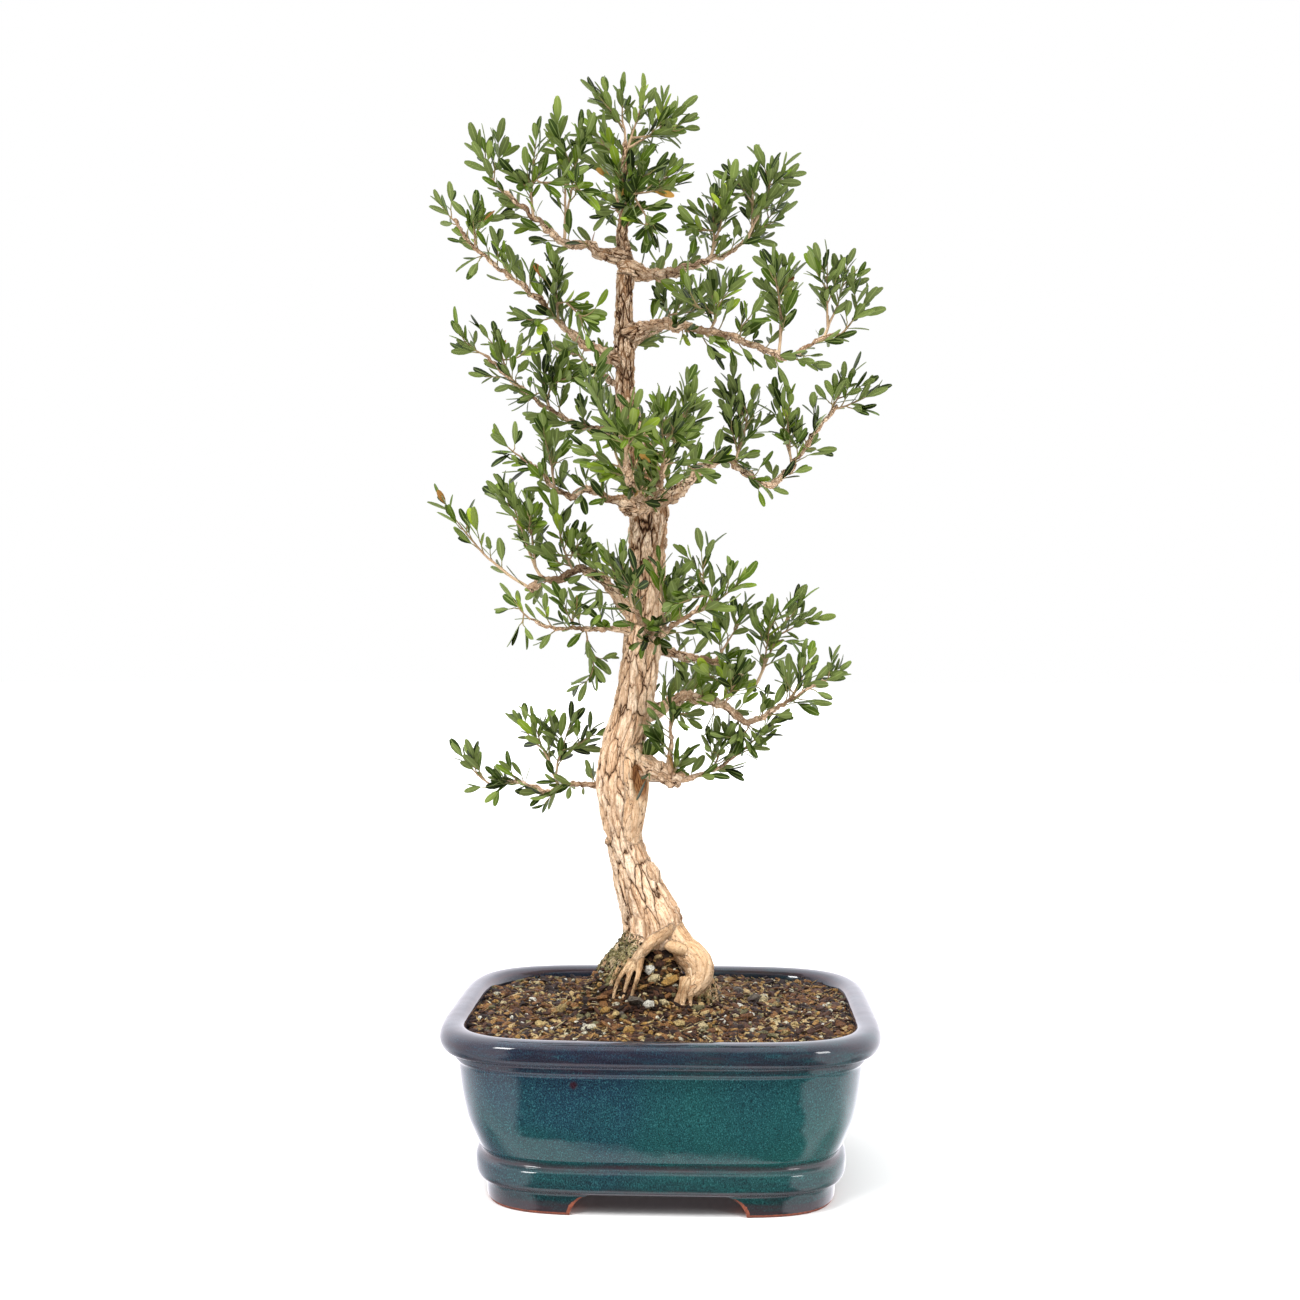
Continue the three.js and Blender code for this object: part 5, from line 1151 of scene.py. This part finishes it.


# Glazed stoneware: deep teal glaze, glossy as glass, speckled, breaking brown on edges; bare clay below,
# with a near-black painted shade on the underside inside the feet
def potGlaze():
    s = potSettings
    material, add, shader = newMaterial("teal glazed stoneware")
    place = add("TexCoord").outputs["Object"]
    breaks, bare = [add("Attribute", attribute_name=name).outputs["Fac"]
        for name in ("glazeBreak", "bareClayAndShade")]
    axes = add("SeparateXYZ", {"Vector": place})
    cloud = add("TexNoise", {"Vector": place, "Scale": 11.0, "Detail": 3.0, "Distortion": 0.5})
    across = add("Math.MULTIPLY_ADD", [axes.outputs["X"], 1.1, cloud])
    across = add("Math.MULTIPLY_ADD", [axes.outputs["Z"], -3.4, across])
    # Navy towards the top and the left, green teal towards the foot and the right, clouded over 90 mm
    pooled = add("ValToRGB", {"Fac": across}, stops=[(0.02, "#1E2C40"), (0.62, "#1E4C49"),
        (0.14, "#1C3645"), (0.28, "#1B3F45"), (0.45, "#1B4546")])
    # Speckle of 0.7 mm, drawn a little coarser than the real one so that it shows
    runs = add("VectorMath.MULTIPLY", [place, (1, 1, 0.6)])
    speck = add("TexNoise", {"Vector": runs, "Scale": 1500.0, "Detail": 3.0, "Roughness": 0.65})
    dark = add("MapRange", [speck, 0.48, 0.36, 0.0, 0.75])
    light = add("MapRange", [speck, 0.53, 0.68, 0.0, 0.45])
    blot = tuple(toMetres([s["spot"]])[0].tolist())
    blot = add("VectorMath.DISTANCE", [place, blot])
    spot = add("MapRange", [blot.outputs["Value"], 0.0016, 0.0034, 0.85, 0.0])
    # The glaze runs thin and navy-brown over the lip and the belt, in streaks of about 20 by 4 mm
    lip = add("MapRange", [axes.outputs["Z"], 0.098, 0.106, 0.0, 0.62])
    belt = add("MapRange", [axes.outputs["Z"], 0.036, 0.028, 0.0, 0.3])
    thinned = add("Math.MAXIMUM", [lip, belt])
    streaks = add("VectorMath.MULTIPLY", [place, (48.0, 48.0, 260.0)])
    drawn = add("TexNoise", {"Vector": streaks, "Scale": 1.0, "Detail": 3.0})
    shown = add("MapRange", [drawn, 0.3, 0.6, 0.55, 1.35])
    thinning = add("Math.MULTIPLY", [thinned, shown], use_clamp=True)
    # Where it breaks on an edge, the brown is soft and drawn out along the wall, 24 by 3 mm
    level = add("VectorMath.MULTIPLY", [place, (42.0, 42.0, 330.0)])
    ragged = add("TexNoise", {"Vector": level, "Scale": 1.0, "Detail": 4.0})
    worn = add("Math.MULTIPLY_ADD", [breaks, 0.8, ragged])
    brown = add("MapRange", [worn, 0.72, 1.25, 0.0, 0.8])
    glaze = pooled
    for share, colour in ((dark, "#0F1E26"), (light, "#4B8F93"), (spot, "#33151C"), (thinning, "#221F2A"),
            (brown, "#3E2C31")):
        glaze = add("Mix", {"Factor": share, "A": glaze, "B": linear(colour)}, data_type="RGBA")
    # Fired clay, mottled every 2.5 mm
    fired = add("TexNoise", {"Vector": place, "Scale": 400.0, "Detail": 3.0})
    terracotta = add("ValToRGB", {"Fac": fired}, stops=[(0.3, "#6E3322"), (0.7, "#A05233")])
    # The glaze stops a little short of the arches between the feet, so a line of clay shows there too
    centred = add("VectorMath.SUBTRACT", [place, tuple(potCentre.tolist())])
    sides = add("SeparateXYZ", {"Vector": centred})
    height = add("Math.DIVIDE", [sides.outputs["Z"], s["archHigh"] * mm])
    curved = add("Math.POWER", [height, s["archPower"]])
    low = add("Math.LESS_THAN", [sides.outputs["Z"], s["clayHigh"] * mm])
    for side, half in (("X", s["archFront"]), ("Y", s["archSide"])):
        wide = add("Math.ABSOLUTE", [sides.outputs[side]])
        narrows, foot = -s["archNarrows"] * half * mm, (half + s["clayWide"]) * mm
        edge = add("Math.MULTIPLY_ADD", [curved, narrows, foot])
        uneven = add("Math.MULTIPLY_ADD", [fired, s["clayUneven"] * mm, edge])
        within = add("Math.LESS_THAN", [wide, uneven])
        strip = add("Math.MULTIPLY", [within, low])
        bare = add("Math.MAXIMUM", [bare, strip])
    # Faces under the pot inside the feet carry 2 and take a near-black painted shade over the clay
    paintedShade = add("MapRange", [bare, 1.0, 2.0])
    shaded = add("Mix", {"Factor": paintedShade, "A": terracotta, "B": linear("#22130F")}, data_type="RGBA")
    clay = add("Mix", {"Factor": bare, "A": glaze, "B": shaded}, data_type="RGBA")
    gloss = add("MapRange", [bare, 0.0, 1.0, 0.05, 0.75])
    # The fired glaze is wavy over about 17 mm, which bends what it mirrors
    wave = add("TexNoise", {"Vector": place, "Scale": 60.0, "Detail": 1.0})
    bump = add("Bump", {"Height": wave, "Strength": 0.25, "Distance": 0.0008})
    setInputs(shader, {"Base Color": clay, "Roughness": gloss, "IOR": 1.65, "Normal": bump})
    return material


def buildPot():
    s = potSettings
    turns = evenTurns(s["steps"])
    flat = [[p[0], 0, p[1], p[2]] for p in s["outside"]]
    profile = smoothPath(flat, s["profileStep"])
    inner = [potRing(s["footInset"] + 2, s["underside"], turns), potRing(s["footInset"], 0, turns)]
    rings = inner + [potRing(p[0], p[2], turns) for p in profile]
    points, faces = loft(rings)
    body = meshObject("potBody", toMetres(points), faces)

    # Cutters for the two gaps between the feet and for the drain holes
    outline = s["arch"] + [[-w, z] for w, z in reversed(s["arch"])]
    cutters = []
    for half, alongX in ((s["archFront"], False), (s["archSide"], True)):
        ends = []
        for end in (-s["cutReach"], s["cutReach"]):
            if alongX:
                ends.append(np.array([[end, w * half, z] for w, z in outline]))
            else:
                ends.append(np.array([[w * half, -end, z] for w, z in outline]))
        cutters.append(loft(ends))
    circle = np.linspace(0, 2 * np.pi, s["drainSides"], endpoint=False)
    for side in (-1, 1):
        disc = np.column_stack([side * s["drainSpacing"] / 2 + s["drainRadius"] * np.cos(circle),
            s["drainRadius"] * np.sin(circle)])
        cutters.append(loft([np.column_stack([disc, np.full(len(disc), z)]) for z in s["drainCut"]]))
    for k, (corner, sides) in enumerate(cutters):
        cutter = meshObject("cutter%d" % k, toMetres(corner), sides)
        cut = body.modifiers.new("cut%d" % k, "BOOLEAN")
        cut.operation = "DIFFERENCE"
        cut.solver = "EXACT"
        cut.object = cutter
    body.data.shade_smooth()
    pot = bake(body, "pot_body")
    for k in range(len(cutters)):
        bpy.data.objects.remove(bpy.data.objects["cutter%d" % k])
    mesh = pot.data

    # How far points are off the outside's profile, and which of its points is nearest
    def offProfile(points):
        inset = insetOf(points)
        off = np.hypot(inset[:, None] - profile[None, :, 0], points[:, 2:3] - profile[None, :, 2])
        return inset, off

    inset, off = offProfile(readPoints(mesh))
    putAttribute(mesh, "glazeBreak", "FLOAT", profile[off.argmin(axis=1), 3])
    middles = (np.array([face.center[:] for face in mesh.polygons]) - potCentre) / mm
    inset, off = offProfile(middles)
    sole, foot = middles[:, 2] < s["footSole"], middles[:, 2] < s["footTop"]
    bare = sole | (foot & (off.min(axis=1) > s["offProfile"]))
    # Faces under the pot inside the feet get 2, a painted shade; bare clay gets 1
    shadeUnderPot = foot & (inset > s["shadeInset"]) & ~sole
    putAttribute(mesh, "bareClayAndShade", "FLOAT", bare.astype(float) + shadeUnderPot, "FACE")
    mesh.set_sharp_from_angle(angle=math.radians(s["creaseAngle"]))
    mesh.materials.clear()
    mesh.materials.append(potGlaze())
    return pot


pot = buildPot()
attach(pot, "root")
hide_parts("pot")
print("pot:", len(pot.data.polygons), "faces")


# The soil: a low mound of dark mix, covered in chips, grit and straw-like fibres. Sizes in millimetres.
soilSettings = {
    "edge": 113.0, "rise": 20.0, "flare": 46.0, "steps": 144, "rings": 56, "insets": (24, 119),
    "below": [(46.6, 27.5), (37.6, 40), (28.6, 66)], "wallInset": 19.6, "crumbSeeds": (4, 9),
    "crumbWide": 1.1, "stoneLift": 0.16, "stoneTilt": 0.5, "stoneLeast": [0.8, 0.6, 0.45],
    "stoneMost": [1.15, 0.85, 0.65], "stoneSeed": 21, "humps": 0.9, "ripples": 0.6,
    "heaps": [(0.0, -14.0, 25.0, 12.5), (-36.0, -5.0, 22.0, 24.0)],
}

# What lies loose on the soil and on the moss: how it scatters and the ramp of its tones
looseSettings = {
    "chips": ({"Gap": 2.45 * mm, "Smallest": 1.4, "Largest": 5.2, "Flatness": 0.5, "Least upward": 0.3,
        "Least moss": -1.0, "Least stretch": (0.7, 0.4, 0.6), "Most stretch": (1.7, 0.9, 1.0), "Seed": 3},
        [(0.0, "#2A180D"), (0.95, "#D6B882"), (0.18, "#4B2D1C"), (0.36, "#744C2C"), (0.5, "#3B2216"),
        (0.6, "#95683C"), (0.73, "#5E3D29"), (0.82, "#B58A50"), (0.9, "#7C7552")]),
    "grit": ({"Gap": 5.5 * mm, "Smallest": 1.2, "Largest": 3.6, "Flatness": 0.75, "Least upward": 0.3,
        "Least moss": -1.0, "Least stretch": (0.75, 0.55, 0.6), "Most stretch": (1.3, 1.0, 1.0),
        "Seed": 8}, [(0.0, "#B98F4C"), (0.92, "#F0ECDD"), (0.22, "#CFB47A"), (0.42, "#A8905E"),
        (0.55, "#E2DCC2"), (0.7, "#6E655A"), (0.8, "#D9C79A")]),
    "fibres": ({"Gap": 4.0 * mm, "Smallest": 2.2, "Largest": 4.4, "Flatness": 1.0, "Least upward": 0.3,
        "Least moss": -1.0, "Least stretch": (1.2, 0.12, 0.12), "Most stretch": (2.8, 0.22, 0.22),
        "Seed": 15}, [(0.0, "#2E1C10"), (0.82, "#D9C595"), (0.3, "#6F5231"), (0.5, "#A08150"),
        (0.68, "#BFA372")]),
    "moss": ({"Gap": 1.2 * mm, "Smallest": 0.4, "Largest": 1.5, "Flatness": 1.0, "Least upward": -0.7,
        "Least moss": 0.5, "Least stretch": (0.5, 0.35, 0.5), "Most stretch": (1.3, 0.8, 1.1),
        "Seed": 31}, [(0.0, "#332D16"), (0.88, "#C9C09A"), (0.2, "#5F562F"), (0.42, "#847C47"),
        (0.68, "#A39A69")]),
}

# Larger stones that stand out: x, y, width, tone
bigStones = [
    [-8, -21, 6.5, 0.95], [-5, -25, 6.5, 0.9], [-9, -37, 7.5, 0.95], [2.6, -34, 5.5, 0.9],
    [-33, -17, 4, 0.95], [-42, -9, 4.5, 0.95], [72, 22, 9, 0.9], [66, 20, 8, 0.72],
    [-17, -36, 9, 0.72], [-38, -40, 7, 0.1], [6, -24, 8, 0.1], [-30, -46, 5, 0.3],
    [55, 48, 7, 0.72], [-70, -20, 6, 0.45], [-48, -60, 6.5, 0.6], [-82, -48, 6, 0.3],
    [30, -62, 5.5, 0.9], [92, -40, 6, 0.25], [38, 10, 6, 0.72], [-95, 20, 5, 0.95],
    [14, -58, 6, 0.35], [-20, -70, 7, 0.2], [84, -70, 6, 0.5],
]


def soilHeight(x, y):
    s = soilSettings
    mound = s["rise"] * np.exp(-(x * x + y * y) / s["flare"] ** 2)
    for heapX, heapY, heapHigh, heapWide in s["heaps"]:
        mound = mound + heapHigh * np.exp(-((x - heapX) ** 2 + (y - heapY) ** 2) / heapWide ** 2)
    humps = s["humps"] * np.sin(x / 13 + 1) * np.cos(y / 11) + s["ripples"] * np.sin(x / 5.5 - y / 7)
    return s["edge"] + mound + humps


# Potting mix: composted bark, dark and matt, with lighter specks of 2 mm and greened in patches of 40 mm
def pottingMix():
    material, add, shader = newMaterial("composted bark mix")
    place = add("TexCoord").outputs["Object"]
    crumbs = add("TexNoise", {"Vector": place, "Scale": 500.0, "Detail": 4.0})
    colour = add("ValToRGB", {"Fac": crumbs}, stops=[(0.35, "#140B06"), (0.7, "#5E422D"),
        (0.5, "#2A1A10")])
    damp = add("TexNoise", {"Vector": place, "Scale": 24.0, "Detail": 4.0})
    mossy = add("MapRange", [damp, 0.52, 0.66, 0.0, 0.7])
    greened = add("Mix", {"Factor": mossy, "A": colour, "B": linear("#4F4E27")}, data_type="RGBA")
    bump = add("Bump", {"Height": crumbs, "Strength": 1.0, "Distance": 0.001})
    setInputs(shader, {"Base Color": greened, "Roughness": 0.95, "Normal": bump})
    return material


# Loose bits: each has one tone from a ramp, darkened at random in spots of about 1 mm by a painted shade
def looseBits(name, stops):
    material, add, shader = newMaterial(name)
    tone = add("Attribute", attribute_name="grainTone").outputs["Fac"]
    colour = add("ValToRGB", {"Fac": tone}, stops=stops)
    colour.color_ramp.interpolation = "CONSTANT"
    place = add("TexCoord").outputs["Object"]
    shadeSpots = add("TexNoise", {"Vector": place, "Scale": 900.0, "Detail": 3.0})
    # Painted shade: the spots darken each bit to between 0.13 and 0.78 of its tone
    shade = add("MapRange", [shadeSpots, 0.3, 0.7, 0.13, 0.78])
    spotShaded = add("VectorMath.SCALE", {0: colour.outputs["Color"], "Scale": shade})
    bump = add("Bump", {"Height": shadeSpots, "Strength": 0.6, "Distance": 0.0005})
    setInputs(shader, {"Base Color": spotShaded, "Roughness": 0.8, "Normal": bump})
    return material


# Angular crumb of a few faces
def crumb(name, seed):
    draw = np.random.default_rng(seed)
    golden = (1 + 5 ** 0.5) / 2
    corners = np.array([(-1, golden, 0), (1, golden, 0), (-1, -golden, 0), (1, -golden, 0),
        (0, -1, golden), (0, 1, golden), (0, -1, -golden), (0, 1, -golden), (golden, 0, -1),
        (golden, 0, 1), (-golden, 0, -1), (-golden, 0, 1)], float)
    corners *= (0.52 * (1 + 0.3 * (draw.random(12) - 0.5)))[:, None]
    faces = [(0, 11, 5), (0, 5, 1), (0, 1, 7), (0, 7, 10), (0, 10, 11), (1, 5, 9), (5, 11, 4),
        (11, 10, 2), (10, 7, 6), (7, 1, 8), (3, 9, 4), (3, 4, 2), (3, 2, 6), (3, 6, 8), (3, 8, 9),
        (4, 9, 5), (2, 4, 11), (6, 2, 10), (8, 6, 7), (9, 8, 1)]
    return meshObject(name, corners * mm, faces)


# Scatters crumbs over what faces up enough and is mossy enough, each turned and stretched its own way
def scatterTree():
    tree, add, given = newTree("scatterCrumbs", Int=["Seed"], Vector=["Least stretch", "Most stretch"],
        Float=["Gap", "Smallest", "Largest", "Flatness", "Least upward", "Least moss"],
        Object=["Crumb one", "Crumb two"], Material=["Material"])
    normal = add("GeometryNodeInputNormal")
    axes = add("SeparateXYZ", {"Vector": normal})
    top = add("Math.GREATER_THAN", [axes.outputs["Z"], given["Least upward"]])
    mossy = add("GeometryNodeInputNamedAttribute", {"Name": "mossy"})
    enough = add("Math.GREATER_THAN", [mossy, given["Least moss"]])
    here = add("Math.MULTIPLY", [top, enough])
    points = add("GeometryNodeDistributePointsOnFaces", {"Mesh": given["Geometry"], "Selection": here,
        "Distance Min": given["Gap"], "Density Max": 900000.0, "Seed": given["Seed"]},
        distribute_method="POISSON")
    kinds = add("GeometryNodeJoinGeometry")
    for label in ("Crumb one", "Crumb two"):
        bit = add("GeometryNodeObjectInfo", {"Object": given[label], "As Instance": True})
        tree.links.new(bit.outputs["Geometry"], kinds.inputs[0])
    seeds = [add("Math.ADD", [given["Seed"], float(k)]) for k in range(1, 6)]
    turn = add("FunctionNodeRandomValue", {"Min": (-0.6, -0.6, 0.0), "Max": (0.6, 0.6, 6.28),
        "Seed": seeds[0]}, data_type="FLOAT_VECTOR")
    turned = add("FunctionNodeEulerToRotation", {"Euler": turn})
    size = add("FunctionNodeRandomValue", {"Seed": seeds[1]})
    skewed = add("Math.POWER", [size, 2.0])
    scale = add("MapRange", [skewed, 0.0, 1.0, given["Smallest"], given["Largest"]])
    stretch = add("FunctionNodeRandomValue", {"Min": given["Least stretch"], "Max": given["Most stretch"],
        "Seed": seeds[2]}, data_type="FLOAT_VECTOR")
    flatter = add("CombineXYZ", {"X": 1.0, "Y": 1.0, "Z": given["Flatness"]})
    squashed = add("VectorMath.MULTIPLY", [stretch, flatter])
    sized = add("VectorMath.SCALE", {0: squashed, "Scale": scale})
    which = add("FunctionNodeRandomValue", {"Min": 0, "Max": 1, "Seed": seeds[3]}, data_type="INT")
    laid = add("GeometryNodeInstanceOnPoints", {"Points": points, "Instance": kinds,
        "Pick Instance": True, "Instance Index": which, "Rotation": turned, "Scale": sized})
    tone = add("FunctionNodeRandomValue", {"Seed": seeds[4]})
    toned = add("GeometryNodeStoreNamedAttribute", {"Geometry": laid, "Name": "grainTone", "Value": tone},
        domain="INSTANCE")
    real = add("GeometryNodeRealizeInstances", {"Geometry": toned})
    painted = add("GeometryNodeSetMaterial", {"Geometry": real, "Material": given["Material"]})
    add("NodeGroupOutput", {"Geometry": painted})
    return tree


# The larger stones, each a crumb turned and stretched, half sunk in the mix
def layStones(crumbs, bits):
    s = soilSettings
    draw = np.random.default_rng(s["stoneSeed"])
    points, faces, tones = [], [], []
    for k, (x, y, wide, tone) in enumerate(bigStones):
        source = crumbs[k % 2].data
        corners = readPoints(source) + potCentre / mm
        tilt = draw.uniform(-s["stoneTilt"], s["stoneTilt"], 2).tolist()
        turn = Euler(tilt + [draw.uniform(0, 6.28)]).to_matrix()
        corners = corners * draw.uniform(s["stoneLeast"], s["stoneMost"]) * wide / s["crumbWide"]
        corners = corners @ np.array(turn).T + [x, y, soilHeight(x, y) + s["stoneLift"] * wide]
        faces += [tuple(v + len(tones) for v in face.vertices) for face in source.polygons]
        points.append(corners)
        tones += [tone] * len(corners)
    stones = meshObject("soil_stones", toMetres(np.vstack(points)), faces)
    putAttribute(stones.data, "grainTone", "FLOAT", np.array(tones))
    stones.data.materials.append(bits)
    return stones


def buildSoil():
    s = soilSettings
    turns = evenTurns(s["steps"])
    rings = [potRing(inset, height, turns) for inset, height in s["below"]]
    for inset in [s["wallInset"], *np.linspace(*s["insets"], s["rings"])]:
        ring = potRing(inset, 0, turns)
        ring[:, 2] = soilHeight(ring[:, 0], ring[:, 1])
        rings.append(ring)
    points, faces = loft(rings)
    bed = meshObject("soil_bed", toMetres(points), faces)
    bed.data.shade_smooth()
    bed.data.materials.append(pottingMix())

    tree = scatterTree()
    crumbs = [crumb("crumb%d" % k, seed) for k, seed in enumerate(s["crumbSeeds"])]
    covers = []
    for name, (scatter, stops) in looseSettings.items():
        ground = trunk if name == "moss" else bed
        source = newObject("cover", ground.data.copy())
        bits = looseBits("loose " + name, stops)
        applyTree(source, tree, {**scatter, "Crumb one": crumbs[0], "Crumb two": crumbs[1],
            "Material": bits})
        covers.append(bake(source, "root_moss" if ground is trunk else "soil_" + name))
        if name == "grit":
            covers.append(layStones(crumbs, bits))
    for bit in crumbs:
        bpy.data.objects.remove(bit)
    return [bed] + covers


for piece in buildSoil():
    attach(piece, "root")
    if piece.name == "soil_bed":
        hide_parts("soil")
    print(piece.name, len(piece.data.polygons), "faces")


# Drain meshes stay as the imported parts, in black moulded polypropylene with a moulded grain of 0.7 mm
def drainPlastic():
    material, add, shader = newMaterial("black moulded polypropylene")
    place = add("TexCoord").outputs["Object"]
    grain = add("TexNoise", {"Vector": place, "Scale": 1500.0})
    colour = add("ValToRGB", {"Fac": grain}, stops=[(0.3, "#17191B"), (0.7, "#2A2D30")])
    setInputs(shader, {"Base Color": colour, "Roughness": 0.55})
    return material


netPlastic = drainPlastic()
for name in ("drain_mesh_left", "drain_mesh_right"):
    net = frame["nodes"][name]
    net.data.materials.clear()
    net.data.materials.append(netPlastic)


# White table and soft white studio light. Behind the camera the studio is dark, which the glaze mirrors.
studioSettings = {"floorSide": 30.0, "skyFrom": 0.42, "horizonLight": 0.03, "topLight": 2.25,
    "mirrorLight": 1.0, "mirrorBright": 2.0, "keyPlace": (-0.85, -1.1, 1.25), "keySize": 0.3,
    "keyPower": 5.0, "keySun": 2.25, "keyFrom": (-0.5, -0.75, 1.4), "fillPlace": (1.0, -1.2, 1.0),
    "fillSize": 0.3, "fillPower": 2.5, "fillSun": 1.3, "fillFrom": (0.6, -0.75, 1.35), "sunSpread": 22.0}


def buildStudio():
    s = studioSettings
    half = s["floorSide"] / 2
    corners = [(-half, -half, 0), (half, -half, 0), (half, half, 0), (-half, half, 0)]
    floor = meshObject("floor", corners, [(0, 1, 2, 3)])
    paper, add, shader = newMaterial("matt white paper")
    setInputs(shader, {"Base Color": linear("#F7F7F7"), "Roughness": 0.9, "Specular IOR Level": 0.0})
    floor.data.materials.append(paper)
    floor.visible_glossy = False

    world = bpy.data.worlds.new("studio")
    scene.world = world
    world.use_nodes = True
    world.node_tree.nodes.clear()
    add = partial(addNode, world.node_tree)
    way = add("TexCoord").outputs["Generated"]
    axes = add("SeparateXYZ", {"Vector": way})
    # What the glaze mirrors from the front: a dark patch with torn edges between two bright sides
    torn = add("TexNoise", {"Vector": way, "Scale": 5.0, "Detail": 4.0})
    tornBy = add("MapRange", [torn, 0.0, 1.0, -0.12, 0.12])
    wide = add("Math.ABSOLUTE", [axes.outputs["X"]])
    wideTorn = add("Math.ADD", [wide, tornBy])
    highTorn = add("Math.MULTIPLY_ADD", [tornBy, 0.3, axes.outputs["Z"]])
    between = add("MapRange", [wideTorn, 0.42, 0.5, 1.0, 0.0])
    leaning = add("Math.MULTIPLY_ADD", [axes.outputs["X"], 0.2, highTorn])
    above = add("MapRange", [leaning, -0.9, -0.87])
    belowTop = add("MapRange", [axes.outputs["Z"], 0.6, 0.85, 1.0, 0.0])
    ahead = add("MapRange", [axes.outputs["Y"], -0.05, -0.25])
    shade = between
    for other in (above, belowTop, ahead):
        shade = add("Math.MULTIPLY", [shade, other])
    mirrored = add("MapRange", [shade, 0.0, 1.0, s["mirrorLight"], 0.03])
    behind = add("MapRange", [axes.outputs["Y"], -0.3, 0.5, 1.0, s["mirrorBright"]])
    mirrored = add("Math.MULTIPLY", [mirrored, behind])
    rightward = add("MapRange", [axes.outputs["X"], 0.3, 0.8, 1.0, 1.2])
    mirrored = add("Math.MULTIPLY", [mirrored, rightward])
    # Edges that face down mirror the shaded table under the pot
    down = add("MapRange", [axes.outputs["Z"], -0.7, -0.45, 0.75, 0.0])
    under = add("MapRange", [axes.outputs["Y"], -0.2, 0.05])
    shadeUnderPot = add("Math.MULTIPLY", [down, under])
    left = add("Math.SUBTRACT", [1.0, shadeUnderPot])
    mirrored = add("Math.MULTIPLY", [mirrored, left])
    sky = add("MapRange", [axes.outputs["Z"], s["skyFrom"], 1.0, s["horizonLight"], s["topLight"]])
    path = add("LightPath")
    glossy = add("Mix", {"Factor": path.outputs["Is Glossy Ray"], "A": sky, "B": mirrored},
        data_type="FLOAT")
    seen = add("Mix", {"Factor": path.outputs["Is Camera Ray"], "A": glossy, "B": 1.0}, data_type="FLOAT")
    tinted = add("Mix", {"Factor": path.outputs["Is Glossy Ray"], "A": linear("#FFFFFF"),
        "B": linear("#F9F6FF")}, data_type="RGBA")
    background = add("Background", {"Color": tinted, "Strength": seen})
    add("OutputWorld", {"Surface": background})

    # Each side has a small softbox, which the glaze mirrors, and a wide soft lamp that lights the tree
    for name in ("key", "fill"):
        box = bpy.data.lights.new(name + " softbox", "AREA")
        box.size = s[name + "Size"]
        box.energy = s[name + "Power"]
        sun = bpy.data.lights.new(name + " light", "SUN")
        sun.angle = math.radians(s["sunSpread"])
        sun.energy = s[name + "Sun"]
        boxLamp, sunLamp = newObject(name + "Softbox", box), newObject(name + "Light", sun)
        boxLamp.location = s[name + "Place"]
        sunLamp.location = s[name + "From"]
        sunLamp.visible_glossy = False
        for lamp, target in ((boxLamp, (0, 0, 0.35)), (sunLamp, (0, 0, 0))):
            aim = Vector(target) - lamp.location
            lamp.rotation_euler = aim.to_track_quat("-Z", "Y").to_euler()


buildStudio()
print("studio ready")
